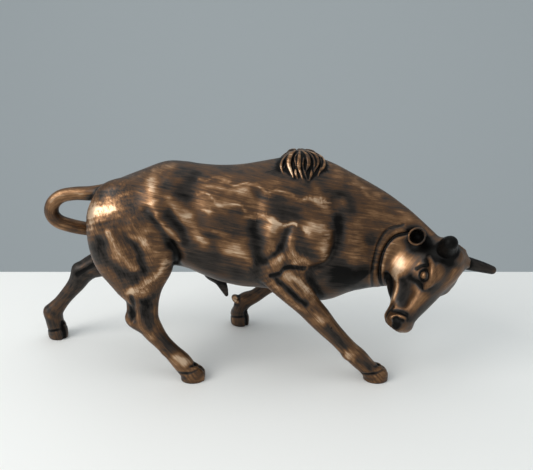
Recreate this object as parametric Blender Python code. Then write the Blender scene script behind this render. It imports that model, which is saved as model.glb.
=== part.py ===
"""A cast bull that stands on its four hooves, head lowered and turned to its right.

Metres, +Z up, +X towards the head, -Y the bull's right flank. The origin is on
the ground, at the middle of the figure. The bull is one casting, so it is one
object. Its pose and proportions are drawn on a grid of 150 units to its height.
Lofted masses and muscles are fused by a voxel remesh, the crisp parts are added
and fused in turn, and then folds, sockets and clefts are pressed into the skin.
"""

import math

import bmesh
import bpy
import numpy as np
from mathutils import Matrix, Vector
from mathutils.bvhtree import BVHTree

# Driving dimensions, in metres
HEIGHT = 0.150
BARREL_HALF_WIDTH = 0.0345
CANNON_RADIUS = 0.0056
HOOF_LENGTH = 0.0165
HOOF_WIDTH = 0.0140
HOOF_HEIGHT = 0.0075
HEAD_LENGTH = 0.0580
HEAD_HALF_WIDTH = 0.0132
HORN_RADIUS = 0.0050
EAR_RADIUS = 0.0056
EAR_WALL = 0.0014
EYE_RADIUS = 0.0027
TAIL_RADIUS = 0.0044
LOCK_RADIUS = 0.0021

# The drawing grid: 150 units to the height, so one unit is a millimetre here
UNIT = HEIGHT / 150
# The head has a grid of its own: 58 units to its length, 14 to its half width
HEAD_UNIT = HEAD_LENGTH / 58
HEAD_SIDE_UNIT = HEAD_HALF_WIDTH / 14

# Meshing
FLESH_VOXEL = 0.0011
FLESH_PASSES = 6
SKIN_VOXEL = 0.0008
SKIN_PASSES = 2
RING_POINTS = 28
STEPS_BETWEEN = 6
TRIANGLES = 9300
DETAIL_SHARE = 0.5
DETAIL_FAVOUR = 2e-5
FACE_MIDDLE = (0, 30, -10)
FACE_REACH = 36
CUT_TOLERANCE = 1e-7
GROUND_TOLERANCE = 1e-6

# Patina
BRONZE = (0.13, 0.075, 0.042, 1.0)
BRONZE_ROUGHNESS = 0.38
BRONZE_METALLIC = 0.9

# How the head is held, in degrees, and the poll between the horns, on the grid
HEAD_TURN = 9.4
HEAD_DROP = 126.0
HEAD_ROLL = 62.0
POLL = (119.2, -33, 86.8)

# Trunk and neck: x, top, bottom, half width as a share of the barrel's, how much
# narrower the top is than the bottom, and how far the middle leaves the centre plane
TRUNK = (
    (-116, 119, 102, 0.22, 0.0, 0),
    (-109.5, 125.5, 89, 0.54, 0.0, 0),
    (-97, 131, 80, 0.76, 0.05, 0),
    (-84, 136, 74, 0.88, 0.12, 0),
    (-67, 142, 72.5, 0.94, 0.20, 0),
    (-54, 142, 70.5, 0.95, 0.22, 0),
    (-44, 140.5, 66, 0.98, 0.20, 0),
    (-31, 139.5, 60.5, 1.00, 0.18, 0),
    (-17, 140, 57, 1.00, 0.20, 0),
    (-4, 142, 56, 1.00, 0.24, 0),
    (10, 144.5, 54, 0.98, 0.30, 0),
    (22, 146, 50, 0.96, 0.33, 0),
    (34, 144.5, 46, 0.92, 0.33, 0),
    (45, 140.5, 47, 0.84, 0.30, 0),
    (56, 134.8, 51, 0.76, 0.25, 0),
    (69, 127.8, 54, 0.64, 0.18, 0),
    (83, 119.6, 56, 0.52, 0.10, -3),
    (97, 109.2, 64, 0.44, 0.05, -10),
    (108, 99.6, 72, 0.36, 0.0, -19),
    (116, 92, 78, 0.20, 0.0, -25),
)

# Legs: x, y, z, then half thickness and half width as shares of the cannon's radius
NEAR_HIND = (
    (-92, -12, 122, 3.4, 2.0),
    (-90.5, -17, 107.5, 4.7, 2.6),
    (-87, -20, 93, 5.1, 2.6),
    (-84.5, -23, 80, 4.6, 2.4),
    (-83, -25.5, 68, 3.2, 2.0),
    (-80.6, -27, 57.7, 1.95, 1.5),
    (-79.6, -28, 49.6, 1.5, 1.25),
    (-79.2, -29, 42, 1.45, 1.25),
    (-75.2, -29.5, 33.7, 1.25, 1.1),
    (-69.5, -30.5, 26.2, 1.0, 0.95),
    (-63, -31.5, 19.1, 1.0, 0.95),
    (-57, -32, 12.3, 1.15, 1.1),
    (-52.5, -32.5, 6, 1.1, 1.1),
)
FAR_HIND = (
    (-90, 12, 118, 3.2, 2.0),
    (-93, 19, 104, 3.9, 2.5),
    (-97, 23, 90, 3.9, 2.4),
    (-104, 25, 77, 3.3, 2.1),
    (-114, 26, 67, 2.4, 1.8),
    (-124, 26, 61, 1.75, 1.5),
    (-132, 26, 57.5, 1.45, 1.3),
    (-138.5, 26, 53, 1.4, 1.25),
    (-144, 26, 45, 1.15, 1.1),
    (-151, 26, 37, 0.98, 0.95),
    (-157.5, 26, 29.5, 0.98, 0.95),
    (-163.5, 26, 22, 1.2, 1.1),
    (-164, 26.5, 14, 1.15, 1.15),
    (-163, 27, 8, 1.2, 1.15),
)
NEAR_FORE = (
    (14, -14, 99.5, 3.6, 2.2),
    (8, -24, 87, 3.3, 1.9),
    (10, -29, 76, 2.6, 1.6),
    (18, -31, 64.3, 1.95, 1.5),
    (26.5, -32, 54, 1.5, 1.3),
    (34.2, -32.5, 45.1, 1.38, 1.25),
    (41, -33, 37.2, 1.2, 1.1),
    (47.7, -33, 29.9, 1.08, 0.97),
    (54.4, -33, 22.4, 1.08, 0.97),
    (60.8, -33, 16, 1.15, 1.1),
    (66.5, -33, 10, 1.05, 1.1),
    (70.5, -33, 5.5, 1.1, 1.15),
)
FAR_FORE = (
    (16, 18, 98, 3.4, 2.1),
    (14, 27, 84, 3.0, 1.9),
    (14, 35, 70, 2.2, 1.7),
    (13.5, 40, 58, 1.6, 1.4),
    (12, 44, 46, 1.35, 1.25),
    (6, 46, 38, 1.12, 1.1),
    (-1.5, 47, 32, 1.0, 0.95),
    (-9.5, 48, 25.5, 1.0, 0.95),
    (-18, 49.5, 20.5, 1.2, 1.1),
    (-21.5, 50, 13.5, 1.05, 1.1),
    (-22, 50, 8, 1.1, 1.15),
)

# Hooves: the middle of each sole, and the heading of the toes in degrees from +X
HOOVES = {
    "near_hind": (-49.5, -33, 0),
    "far_hind": (-163, 27.5, 0),
    "near_fore": (73.5, -33, 0),
    "far_fore": (-22, 50.5, 0),
}

# Tail: x, y, z, then the radius as a share of the tail's
TAIL = (
    (-90, 0, 121.4, 1.3),
    (-100, 0, 122.2, 1.25),
    (-108, 0, 121.6, 1.2),
    (-118, 0, 120.5, 1.12),
    (-128, 0, 120.4, 1.03),
    (-137.6, 0, 118.6, 1.03),
    (-144, 0.5, 113.4, 1.05),
    (-146, 1.5, 106.4, 1.08),
    (-142.8, 3, 100.4, 1.1),
    (-135, 6, 96.2, 1.1),
    (-126, 10, 93, 1.08),
    (-115, 16, 90.3, 1.05),
    (-104, 24, 87, 1.0),
    (-95, 29, 82, 0.95),
)
# Its brush on the thigh: the start and the end of each strand
TAIL_STRANDS = (
    ((-99, 27, 84), (-84, 32, 70)),
    ((-99, 29, 80), (-90, 33, 63)),
    ((-101, 28, 87), (-80, 31, 78)),
)

# Masses on the grid: start, end, half thickness, half width. The legs stand apart, so
# each side has its own
RIGHT_MASSES = (
    ((19, -24, 97), (41, -24, 95), 13.0, 9.0),
    ((21, -26, 106), (3, -28, 80), 7.5, 6.0),
    ((-1, -29, 80), (8, -30, 70), 4.6, 4.4),
    ((10, -31.5, 84), (31, -33.2, 53), 5.0, 4.0),
    ((3, -29, 76), (25, -31.5, 47), 4.0, 3.6),
    ((-73, -28, 88), (-84, -27, 60), 6.5, 4.8),
    ((-87, -27, 72), (-90, -28, 41), 3.2, 2.8),
    ((-93, -28.5, 44), (-84, -29, 36), 3.8, 3.4),
    ((50.5, -33.5, 21.5), (56, -33, 15.5), 3.0, 5.2),
    ((-70, -31, 22.8), (-63, -31.5, 17.5), 3.0, 5.2),
)
LEFT_MASSES = (
    ((19, 24, 97), (41, 24, 95), 13.0, 9.0),
    ((20, 27, 106), (9, 33, 74), 7.5, 6.0),
    ((18, 34, 84), (16, 42, 54), 4.6, 4.0),
    ((-84, 27, 84), (-110, 27, 67), 6.5, 4.6),
    ((-118, 26, 72), (-142, 26, 59), 3.2, 2.8),
    ((-145, 26, 59.5), (-138, 26, 51), 3.8, 3.4),
    ((-28, 49, 25), (-20, 49.5, 19), 3.0, 5.2),
    ((-169.5, 26, 26), (-163, 26, 17), 4.2, 5.6),
)
MIDDLE_MASSES = (
    ((24, 0, 57), (46, 0, 55), 9.0, 15.0),
    ((40, 0, 52), (78, -2, 58), 3.4, 4.5),
    ((-42, 0, 61), (-29, 0, 54), 5.5, 5.5),
    ((-110, 0, 92), (-104, 0, 66), 6.0, 6.5),
)
# Sheath under the belly: x, z and radius
SHEATH = (
    (-38, 63, 6.0),
    (-33.5, 57, 4.4),
    (-30.5, 52, 2.8),
    (-28.6, 47.6, 1.3),
)

# Head: distance from the poll towards the nose, forehead, underside, half width,
# and how square the section is
HEAD = (
    (-7, 2, -12, 7, 2.0),
    (-3, 6, -18, 11.5, 2.1),
    (3, 8, -24, 13.5, 2.2),
    (10, 8.4, -28, 13.6, 2.3),
    (17, 7.6, -33, 13.4, 2.4),
    (24, 6.4, -36, 12.6, 2.4),
    (30, 5.6, -36, 11.2, 2.4),
    (35, 5.2, -31.5, 9.4, 2.3),
    (40, 4.8, -23, 8.2, 2.2),
    (46, 4.6, -15, 7.8, 2.1),
    (52, 4.8, -14.6, 8.6, 2.2),
    (57, 4.2, -13.4, 8.4, 2.2),
    (60, 1.2, -10.0, 6.6, 2.1),
)
# Masses of the head, from side to side: side, nose and forehead places of start and
# end, half thickness, half width. Each is repeated on the other side
HEAD_MASSES = (
    ((9.5, 16, -16), (9.5, 31, -31), 10.0, 5.8),
    ((10.5, 8, 0.5), (10.0, 25, 0.5), 5.0, 4.8),
    ((6.5, 24, 1.5), (5.0, 47, 0.5), 3.0, 3.0),
    ((4.8, 50, 0.0), (5.0, 58, -1.5), 4.6, 4.4),
    ((6.0, 33, -25), (5.2, 49, -11), 3.0, 2.6),
    ((4.0, -4, 3.0), (9.0, 4, 1.0), 5.0, 5.0),
)
EYE = (12.4, 20.6, -2.6)
# Horns: side, nose, forehead, then the radius as a share of the base's
RIGHT_HORN = (
    (-7, -0.5, -2, 1.2),
    (-13, -1, -1.5, 1.2),
    (-18, -2, 0.3, 1.12),
    (-23, -3, 2.6, 1.0),
    (-27, -4, 5, 0.88),
)
LEFT_HORN = (
    (6, 0.6, -0.6, 0.88),
    (12, -0.4, 0.2, 0.88),
    (17, -2.2, 3.0, 0.84),
    (22.5, -4.7, 7.2, 0.74),
    (27.6, -7.0, 11.6, 0.56),
)
# Ears: side, nose and forehead places of the root and of the middle of the rim
RIGHT_EAR = ((-15.6, 3.7, -22.3), (-25.5, 3.9, -16.5))
LEFT_EAR = ((11, 7, -15), (22.5, 3.6, -18.5))
# Their cups from the root out and back in: how far along, the radius as a share
EAR_OUTSIDE = (
    (-0.4, 0.45),
    (0.0, 0.45),
    (0.25, 0.62),
    (0.55, 0.90),
    (0.85, 1.0),
    (1.0, 0.96),
)
EAR_INSIDE = (
    (1.0, 0.96),
    (0.85, 0.92),
    (0.62, 0.66),
    (0.50, 0.25),
)
EAR_HEIGHT = 1.06
EAR_BREADTH = 0.97

# A hoof from below the ground up: the height in hoof heights, the share of the sole's
# size, and how far it leans back in hoof heights
HOOF_LEVELS = (
    (-0.30, 1.0, 0.0),
    (0.0, 1.0, 0.0),
    (0.45, 0.99, 0.02),
    (0.9, 0.92, -0.04),
    (1.2, 0.78, -0.18),
    (1.55, 0.5, -0.34),
)

# Tuft on the withers: the crown from side to side with its half height and half length,
# then the locks of a side, as x and z seen from the side and the radius as a share
CROWN = ((22.8, -13, 139.5), (22.8, 13, 139.5), 10.2, 14.5)
LOCKS = (
    (((15.5, 148), (11.2, 144), (9.8, 140.5), (9.4, 137)), 0.65),
    (((17, 148.5), (13.6, 146), (12.2, 142), (10.8, 137.6)), 0.7),
    (((19.5, 149), (16.9, 146.5), (16.0, 141.5), (16.7, 135)), 1.0),
    (((21.5, 149.2), (21.6, 146), (21.0, 141), (22.3, 134.6)), 0.85),
    (((22.5, 149.2), (23.3, 146), (23.6, 140), (25.6, 133)), 0.75),
    (((25, 149), (29.2, 146.5), (30.2, 141.5), (28.2, 134)), 0.8),
    (((27, 148.8), (32, 146), (32.8, 141), (30.2, 134.8)), 0.8),
    (((28.5, 148.2), (34.6, 145), (35.2, 140.5), (32.4, 135.2)), 0.8),
    (((30, 147.4), (36.6, 143.8), (37, 140), (34.6, 136)), 0.7),
)
LOCK_SHAPE = (0.6, 0.95, 1.1, 1.0, 0.7, 0.3)
LOCK_LIFT = 0.45

# Relief of the flanks, seen from the side: a route of (x, z) on the grid, its radius
# and how far it swells, or sinks where negative
SHARED_RELIEF = (
    (((29, 96), (30, 95)), 13.0, 2.6),
    (((24, 134), (33, 110)), 8.0, 1.4),
    (((5, 107), (2, 95)), 4.6, 1.9),
    (((15.5, 99), (15.5, 90)), 2.4, 1.1),
    (((44, 120), (46, 100), (40, 84), (29, 78)), 4.5, -2.4),
    (((43.5, 104), (43, 92), (38, 82.5), (29, 79)), 1.8, -1.1),
    (((-6, 122), (-8, 100), (-4, 84)), 5.5, -1.7),
    (((14, 107), (12, 99), (8, 92), (1, 84)), 2.2, -1.3),
    (((47, 129), (88, 106)), 7.0, 1.3),
    (((42, 118), (68, 107), (92, 94)), 4.0, -0.9),
    (((52, 96), (66, 82), (80, 74)), 8.0, 1.4),
    (((92, 99), (83, 95.5), (77, 88), (74.4, 77), (76, 66), (80, 57)), 1.4, -1.5),
    (((88, 104), (78, 100), (72, 91), (69.2, 77), (70.4, 65), (73, 56)), 1.3, -1.0),
    (((-60, 136), (-57, 133)), 6.0, 1.8),
    (((-48, 130), (-45, 108)), 8.0, -1.8),
    (((-109, 113), (-106, 109)), 6.5, 1.2),
)
RIGHT_RELIEF = (
    (((-72, 128), (-69, 114)), 7.0, 1.6),
    (((-71, 93), (-68, 86)), 6.5, 2.4),
    (((-74, 116), (-68, 108), (-63, 100), (-60, 94)), 2.6, -1.3),
    (((-60, 114), (-54, 105), (-51, 97)), 3.6, -1.4),
    (((-61, 121), (-55, 117), (-49, 112), (-43, 104), (-39, 97)), 3.0, 1.1),
    (((-60, 95), (-57, 88), (-59, 80)), 3.4, -2.8),
    (((-98, 102), (-92, 90), (-84, 81)), 3.2, 0.9),
    (((-88, 101), (-81, 91), (-77, 79)), 3.2, -1.0),
    (((-105, 98), (-99, 85), (-92, 77), (-83, 76)), 3.4, -0.8),
    (((-64, 83), (-69, 75), (-77, 70), (-85, 66)), 2.8, 1.1),
)
LEFT_RELIEF = (
    (((-67, 122), (-66, 94)), 9.0, 2.4),
    (((-87, 118), (-88, 88)), 6.0, 1.4),
    (((-57, 118), (-55, 104), (-58, 88)), 4.0, -2.4),
    (((-79, 120), (-80, 98), (-82, 84)), 3.5, -1.2),
    (((-97, 112), (-100, 92), (-104, 78)), 3.5, -1.1),
)
# The relief fades out towards the centre plane between these distances from it
RELIEF_FROM = 3
RELIEF_FULL = 12
# How far round its route a crease is worked
CREASE_REACH = 8

# Creases and clefts pressed along a route: points on the grid, radius, depth. A
# negative depth raises a ridge
CREASES = (
    (((2, -36, 75.5), (8, -37, 77.5), (12, -37, 82), (17, -37, 82), (34, -35, 79)), 1.5, 1.3),
    (((7, -37, 73), (16, -38, 65), (25, -38, 57)), 2.0, 0.9),
    (((-86, -32, 62), (-85, -32, 50), (-86, -32, 43)), 1.8, 1.0),
    (((-112, 20, 70), (-128, 20, 62), (-140, 20, 55)), 1.8, 1.0),
)
# The same on the head, on its own grid, for the right side and mirrored
HEAD_CREASES = (
    (((-9.5, 33, -20), (-8, 40, -13.5), (-7.4, 46, -10)), 1.8, -0.8),
    (((-6.5, 34, -26), (-6, 41, -19), (-6, 46, -13.5)), 2.2, 1.2),
    (((-7, 60, -7.5), (-8, 54, -9.5), (-7.5, 49, -9.5)), 1.0, 0.8),
    (((-10, 31, -6), (-8.5, 42, -4.5)), 4.4, 1.6),
    (((-9.8, 24, 1.6), (-7.8, 34, 2), (-6.2, 47, 1.4)), 1.7, -0.6),
    (((-13.5, 10, -7), (-13, 16.5, 1.2), (-11.3, 21, 2.6), (-10.3, 26, 1.6)), 1.7, -1.1),
    (((-15, 20.5, -9.5), (-15, 17, -8), (-14.2, 14.4, -4.6)), 1.2, 0.8),
    (((-8.6, 51, -8), (-8.4, 49.2, -5), (-7.4, 48, -2), (-6.2, 47, 0.6)), 1.4, 0.8),
    (((-9, 53.4, -1.6), (-8.8, 55.6, 1), (-7, 58, 0.4)), 1.9, 2.4),
)
SOCKET_RADIUS = 3.2
SOCKET_WIDTH = 1.0
SOCKET_DEPTH = 1.0
# The line between horn and skin round each hoof, and the cleft of its toes: along and
# across in halves of the sole, and up in hoof heights
CORONET = 1.08
CORONET_WIDTH = 0.9
CORONET_DEPTH = 0.7
CLEFT = ((1.03, 0, 0.0), (1.03, 0, 0.4), (0.9, 0, 0.9), (0.6, 0, 1.3))
CLEFT_WIDTH = 1.2
CLEFT_DEPTH = 2.3


def smooth_rows(rows, steps=STEPS_BETWEEN):
    """Rows of numbers made denser with a Catmull-Rom curve through each column."""
    rows = np.asarray(rows, float)
    padded = np.vstack([2 * rows[0] - rows[1], rows, 2 * rows[-1] - rows[-2]])
    found = []
    for i in range(1, len(padded) - 2):
        before, start, end, after = padded[i - 1 : i + 3]
        for t in np.arange(steps) / steps:
            found.append(
                0.5
                * (
                    2 * start
                    + (end - before) * t
                    + (2 * before - 5 * start + 4 * end - after) * t**2
                    + (3 * start - before - 3 * end + after) * t**3
                )
            )
    found.append(rows[-1])
    return np.array(found)


def add_rings(bm, rings):
    """Closed skin over a list of rings of equal length, capped by a fan at each end."""
    loops = [[bm.verts.new(point) for point in ring] for ring in rings]
    count = len(loops[0])
    for lower, upper in zip(loops, loops[1:]):
        for i in range(count):
            j = (i + 1) % count
            bm.faces.new((lower[i], lower[j], upper[j], upper[i]))
    for loop, turned in ((loops[0], True), (loops[-1], False)):
        middle = bm.verts.new(sum((v.co for v in loop), Vector()) / count)
        for i in range(count):
            pair = (loop[i], loop[(i + 1) % count])
            bm.faces.new((middle, *reversed(pair)) if turned else (middle, *pair))


def add_tube(bm, stations, side=(0, 1, 0)):
    """Tube through (x, y, z, thickness, width) stations in metres, sizes as half sizes.

    The width lies along the side direction and the thickness across it.
    """
    rows = smooth_rows(stations)
    path = rows[:, :3]
    tangents = np.gradient(path, axis=0)
    rings = []
    for centre, tangent, (thickness, width) in zip(path, tangents, rows[:, 3:]):
        tangent = Vector(tangent).normalized()
        across = tangent.cross(Vector(side)).normalized()
        along_side = across.cross(tangent).normalized()
        ring = []
        for k in range(RING_POINTS):
            angle = 2 * math.pi * k / RING_POINTS
            offset = across * math.cos(angle) * thickness - along_side * math.sin(angle) * width
            ring.append(Vector(centre) + offset)
        rings.append(ring)
    add_rings(bm, rings)


def add_muscle(bm, start, end, thickness, width, side=(0, 1, 0)):
    """Ellipsoid from start to end, with its half thickness and its half width along side."""
    axis = end - start
    along = axis.normalized()
    across = along.cross(Vector(side)).normalized()
    turn = Matrix((along, across, along.cross(across))).transposed().to_4x4()
    size = Matrix.Diagonal((axis.length / 2, thickness, width, 1))
    place = Matrix.Translation((start + end) / 2) @ turn @ size
    bmesh.ops.create_icosphere(bm, subdivisions=3, radius=1.0, matrix=place)


def head_axes():
    """Directions of the head as it is held: to its left, to its nose, out of its forehead."""
    turn, drop, roll = (math.radians(angle) for angle in (HEAD_TURN, HEAD_DROP, HEAD_ROLL))
    nose = Vector(
        (math.cos(drop) * math.cos(turn), math.cos(drop) * math.sin(turn), -math.sin(drop))
    )
    level = Vector((-math.sin(turn), math.cos(turn), 0))
    left = level * math.cos(roll) + nose.cross(level) * math.sin(roll)
    return left, nose, nose.cross(left)


def on_head(side, nose, forehead):
    """Point in metres from the head's own grid."""
    left_axis, nose_axis, forehead_axis = head_axes()
    return (
        Vector(POLL) * UNIT
        + left_axis * side * HEAD_SIDE_UNIT
        + (nose_axis * nose + forehead_axis * forehead) * HEAD_UNIT
    )


def add_trunk(bm):
    """Egg-shaped upright rings from the rump to the poll."""
    rings = []
    for x, top, bottom, share, narrowing, shift in smooth_rows(TRUNK):
        middle, half = (top + bottom) / 2 * UNIT, (top - bottom) / 2 * UNIT
        ring = []
        for k in range(2 * RING_POINTS):
            angle = math.pi * k / RING_POINTS
            rise = math.sin(angle)
            reach = BARREL_HALF_WIDTH * share * (1 - narrowing * rise)
            ring.append(
                Vector((x * UNIT, shift * UNIT + reach * math.cos(angle), middle + half * rise))
            )
        rings.append(ring)
    add_rings(bm, rings)


def add_leg(bm, rows):
    """Leg tube from grid stations, its sizes being shares of the cannon's radius."""
    scale = np.array([UNIT, UNIT, UNIT, CANNON_RADIUS, CANNON_RADIUS])
    add_tube(bm, np.array(rows) * scale)


def add_tail(bm):
    """Tail that loops up and back and lies down on the left thigh."""
    rows = np.array(TAIL)
    radii = rows[:, 3:] * TAIL_RADIUS
    add_tube(bm, np.hstack([rows[:, :3] * UNIT, radii, radii]))
    for start, end in TAIL_STRANDS:
        add_muscle(bm, Vector(start) * UNIT, Vector(end) * UNIT, TAIL_RADIUS, TAIL_RADIUS)


def power(value, exponent):
    """Value raised to an exponent with its sign kept."""
    return math.copysign(abs(value) ** exponent, value)


def add_head(bm):
    """Skull and jaws as one loft along the face, with the cheeks, brows and muzzle on it."""
    left_axis = head_axes()[0]
    rings = []
    for nose, forehead, underside, half_width, squareness in smooth_rows(HEAD):
        ring = []
        for k in range(2 * RING_POINTS):
            angle = math.pi * k / RING_POINTS
            side = half_width * power(math.cos(angle), 2 / squareness)
            rise = power(math.sin(angle), 2 / squareness)
            level = (forehead + underside) / 2 + (forehead - underside) / 2 * rise
            ring.append(on_head(side, nose, level))
        rings.append(ring)
    add_rings(bm, rings)
    for start, end, thickness, width in HEAD_MASSES:
        for hand in (-1, 1):
            add_muscle(
                bm,
                on_head(hand * start[0], *start[1:]),
                on_head(hand * end[0], *end[1:]),
                thickness * HEAD_UNIT,
                width * HEAD_SIDE_UNIT,
                left_axis,
            )


def add_horn(bm, rows):
    """Short tapered horn from head stations."""
    stations = []
    for side, nose, forehead, share in rows:
        radius = HORN_RADIUS * share
        stations.append((*on_head(side, nose, forehead), radius, radius))
    add_tube(bm, stations, head_axes()[1])


def add_ear(bm, root, rim):
    """Round cup at the end of a short stalk, from the head places of its root and rim."""
    root = on_head(*root)
    rim = on_head(*rim)
    axis = (rim - root).normalized()
    up = (on_head(0, -1, 0) - on_head(0, 0, 0)).normalized()
    across = axis.cross(up).normalized()
    up = across.cross(axis) * EAR_HEIGHT
    across = across * EAR_BREADTH
    outside = [(level, share * EAR_RADIUS) for level, share in EAR_OUTSIDE]
    inside = [(level, share * (EAR_RADIUS - EAR_WALL)) for level, share in EAR_INSIDE]
    rings = []
    for level, radius in outside + inside:
        middle = root + (rim - root) * level
        ring = []
        for k in range(RING_POINTS):
            angle = 2 * math.pi * k / RING_POINTS
            ring.append(middle + (up * math.cos(angle) + across * math.sin(angle)) * radius)
        rings.append(ring)
    add_rings(bm, rings)


def on_hoof(hoof, along, across, up):
    """Point by a hoof: along and across in halves of its sole, up in hoof heights."""
    x, y, heading = hoof
    reach = (HOOF_LENGTH / 2 * along, HOOF_WIDTH / 2 * across, HOOF_HEIGHT * up)
    return Vector((x, y, 0)) * UNIT + Matrix.Rotation(math.radians(heading), 3, "Z") @ Vector(reach)


def add_hoof(bm, hoof):
    """Hoof as an upright tube from a little below the ground to the pastern."""
    rings = []
    for level, share, lean in HOOF_LEVELS:
        back = lean * HOOF_HEIGHT / (HOOF_LENGTH / 2)
        ring = []
        for k in range(RING_POINTS):
            angle = 2 * math.pi * k / RING_POINTS
            along, across = share * math.cos(angle) + back, share * math.sin(angle)
            ring.append(on_hoof(hoof, along, across, level))
        rings.append(ring)
    add_rings(bm, rings)


def add_locks(bm):
    """Pointed locks that fall over the crown, each laid on the skin of its side."""
    tree = BVHTree.FromBMesh(bm)
    for hand in (-1, 1):
        for route, size in LOCKS:
            rows = smooth_rows(route)
            shares = np.interp(
                np.linspace(0, 1, len(rows)), np.linspace(0, 1, len(LOCK_SHAPE)), LOCK_SHAPE
            )
            stations = []
            for (x, z), radius in zip(rows * UNIT, shares * size * LOCK_RADIUS):
                found = tree.ray_cast(Vector((x, hand * HEIGHT, z)), Vector((0, -hand, 0)))[0]
                skin = found.y if found else 0
                stations.append((x, skin + hand * LOCK_LIFT * radius, z, radius, radius))
            add_tube(bm, stations, (1, 0, 0))


def flesh():
    """Trunk, legs, tail, head and their muscles as overlapping closed skins."""
    bm = bmesh.new()
    add_trunk(bm)
    for rows in (NEAR_HIND, FAR_HIND, NEAR_FORE, FAR_FORE):
        add_leg(bm, rows)
    for start, end, thickness, width in (*RIGHT_MASSES, *LEFT_MASSES, *MIDDLE_MASSES):
        add_muscle(
            bm, Vector(start) * UNIT, Vector(end) * UNIT, thickness * UNIT, width * UNIT
        )
    start, end, height, length = CROWN
    add_muscle(
        bm, Vector(start) * UNIT, Vector(end) * UNIT, height * UNIT, length * UNIT, (1, 0, 0)
    )
    add_tail(bm)
    add_head(bm)
    return bm


def add_trim(bm):
    """The crisp parts that sit on the flesh."""
    add_locks(bm)
    for hoof in HOOVES.values():
        add_hoof(bm, hoof)
    add_horn(bm, RIGHT_HORN)
    add_horn(bm, LEFT_HORN)
    add_ear(bm, *RIGHT_EAR)
    add_ear(bm, *LEFT_EAR)
    for hand in (-1, 1):
        middle = on_head(hand * EYE[0], *EYE[1:])
        place = Matrix.Translation(middle)
        bmesh.ops.create_icosphere(bm, subdivisions=2, radius=EYE_RADIUS, matrix=place)
    rows = np.array(SHEATH) * UNIT
    add_tube(bm, np.stack([rows[:, 0], 0 * rows[:, 0], rows[:, 1], rows[:, 2], rows[:, 2]], axis=1))


def baked(bull):
    """Applies the modifiers of the object to its mesh."""
    graph = bpy.context.evaluated_depsgraph_get()
    mesh = bpy.data.meshes.new_from_object(bull.evaluated_get(graph))
    old = bull.data
    bull.modifiers.clear()
    bull.data = mesh
    bpy.data.meshes.remove(old)


def fuse(bull, voxel, passes):
    """One closed skin round the overlapping ones, then smoothed."""
    remesh = bull.modifiers.new("fuse", "REMESH")
    remesh.mode = "VOXEL"
    remesh.voxel_size = voxel
    remesh.adaptivity = 0
    smooth = bull.modifiers.new("soften", "SMOOTH")
    smooth.factor = 0.5
    smooth.iterations = int(passes)
    baked(bull)


def distance_to(points, route):
    """Distance of each point to a route of points, as straight stretches."""
    nearest = np.full(len(points), np.inf)
    for start, end in zip(route, route[1:]):
        stretch = end - start
        share = (points - start) @ stretch / max(stretch @ stretch, 1e-18)
        gap = points - start - np.clip(share, 0, 1)[:, None] * stretch
        nearest = np.minimum(nearest, (gap * gap).sum(axis=1))
    return np.sqrt(nearest)


def press_relief(places, normals):
    """Swells and hollows of the flanks, faded out at the centre plane."""
    flat = places[:, (0, 2)]
    rise = np.zeros(len(places))
    for hand, own in ((-1, RIGHT_RELIEF), (1, LEFT_RELIEF)):
        out = (places[:, 1] * hand / UNIT - RELIEF_FROM) / (RELIEF_FULL - RELIEF_FROM)
        out = np.clip(out, 0, 1)
        fade = out * out * (3 - 2 * out)
        for route, radius, height in (*SHARED_RELIEF, *own):
            gap = distance_to(flat, smooth_rows(route) * UNIT) / (radius * UNIT)
            rise += fade * height * UNIT * np.exp(-gap * gap)
    return places + normals * rise[:, None]


def crease_routes():
    """Every crease as a route in metres, with its radius and depth in grid units."""
    routes = [(smooth_rows(route) * UNIT, radius, depth) for route, radius, depth in CREASES]
    for hand in (1, -1):
        for route, radius, depth in HEAD_CREASES:
            held = [on_head(hand * side, *rest) for side, *rest in smooth_rows(route)]
            routes.append((np.array(held), radius, depth))
        rim = []
        for k in range(RING_POINTS + 1):
            angle = 2 * math.pi * k / RING_POINTS
            nose = EYE[1] + SOCKET_RADIUS * math.cos(angle)
            forehead = EYE[2] + SOCKET_RADIUS * math.sin(angle)
            rim.append(on_head(hand * EYE[0], nose, forehead))
        routes.append((np.array(rim), SOCKET_WIDTH, SOCKET_DEPTH))
    for hoof in HOOVES.values():
        rim = []
        for k in range(RING_POINTS + 1):
            angle = 2 * math.pi * k / RING_POINTS
            rim.append(on_hoof(hoof, math.cos(angle), math.sin(angle), CORONET))
        routes.append((np.array(rim), CORONET_WIDTH, CORONET_DEPTH))
        cleft = [on_hoof(hoof, *place) for place in smooth_rows(CLEFT)]
        routes.append((np.array(cleft), CLEFT_WIDTH, CLEFT_DEPTH))
    return routes


def press_creases(places, normals):
    """Narrow creases and ridges, each laid on the skin where its route comes nearest."""
    sink = np.zeros(len(places))
    reach = CREASE_REACH * UNIT
    for route, radius, depth in crease_routes():
        low, high = route.min(axis=0) - reach, route.max(axis=0) + reach
        near = np.all((places > low) & (places < high), axis=1)
        around = places[near]
        laid = [around[np.argmin(((around - point) ** 2).sum(axis=1))] for point in route]
        gap = distance_to(around, np.array(laid)) / (radius * UNIT)
        sink[near] += depth * UNIT * np.exp(-gap * gap)
    return places - normals * sink[:, None]


def press(bull, *ways):
    """Moves the skin's points by each of the given functions of places and normals."""
    mesh = bull.data
    for way in ways:
        places = np.empty(3 * len(mesh.vertices), np.float32)
        normals = np.empty_like(places)
        mesh.vertices.foreach_get("co", places)
        mesh.vertices.foreach_get("normal", normals)
        moved = way(places.reshape(-1, 3).astype(float), normals.reshape(-1, 3).astype(float))
        mesh.vertices.foreach_set("co", moved.astype(np.float32).ravel())
        mesh.update()


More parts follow.
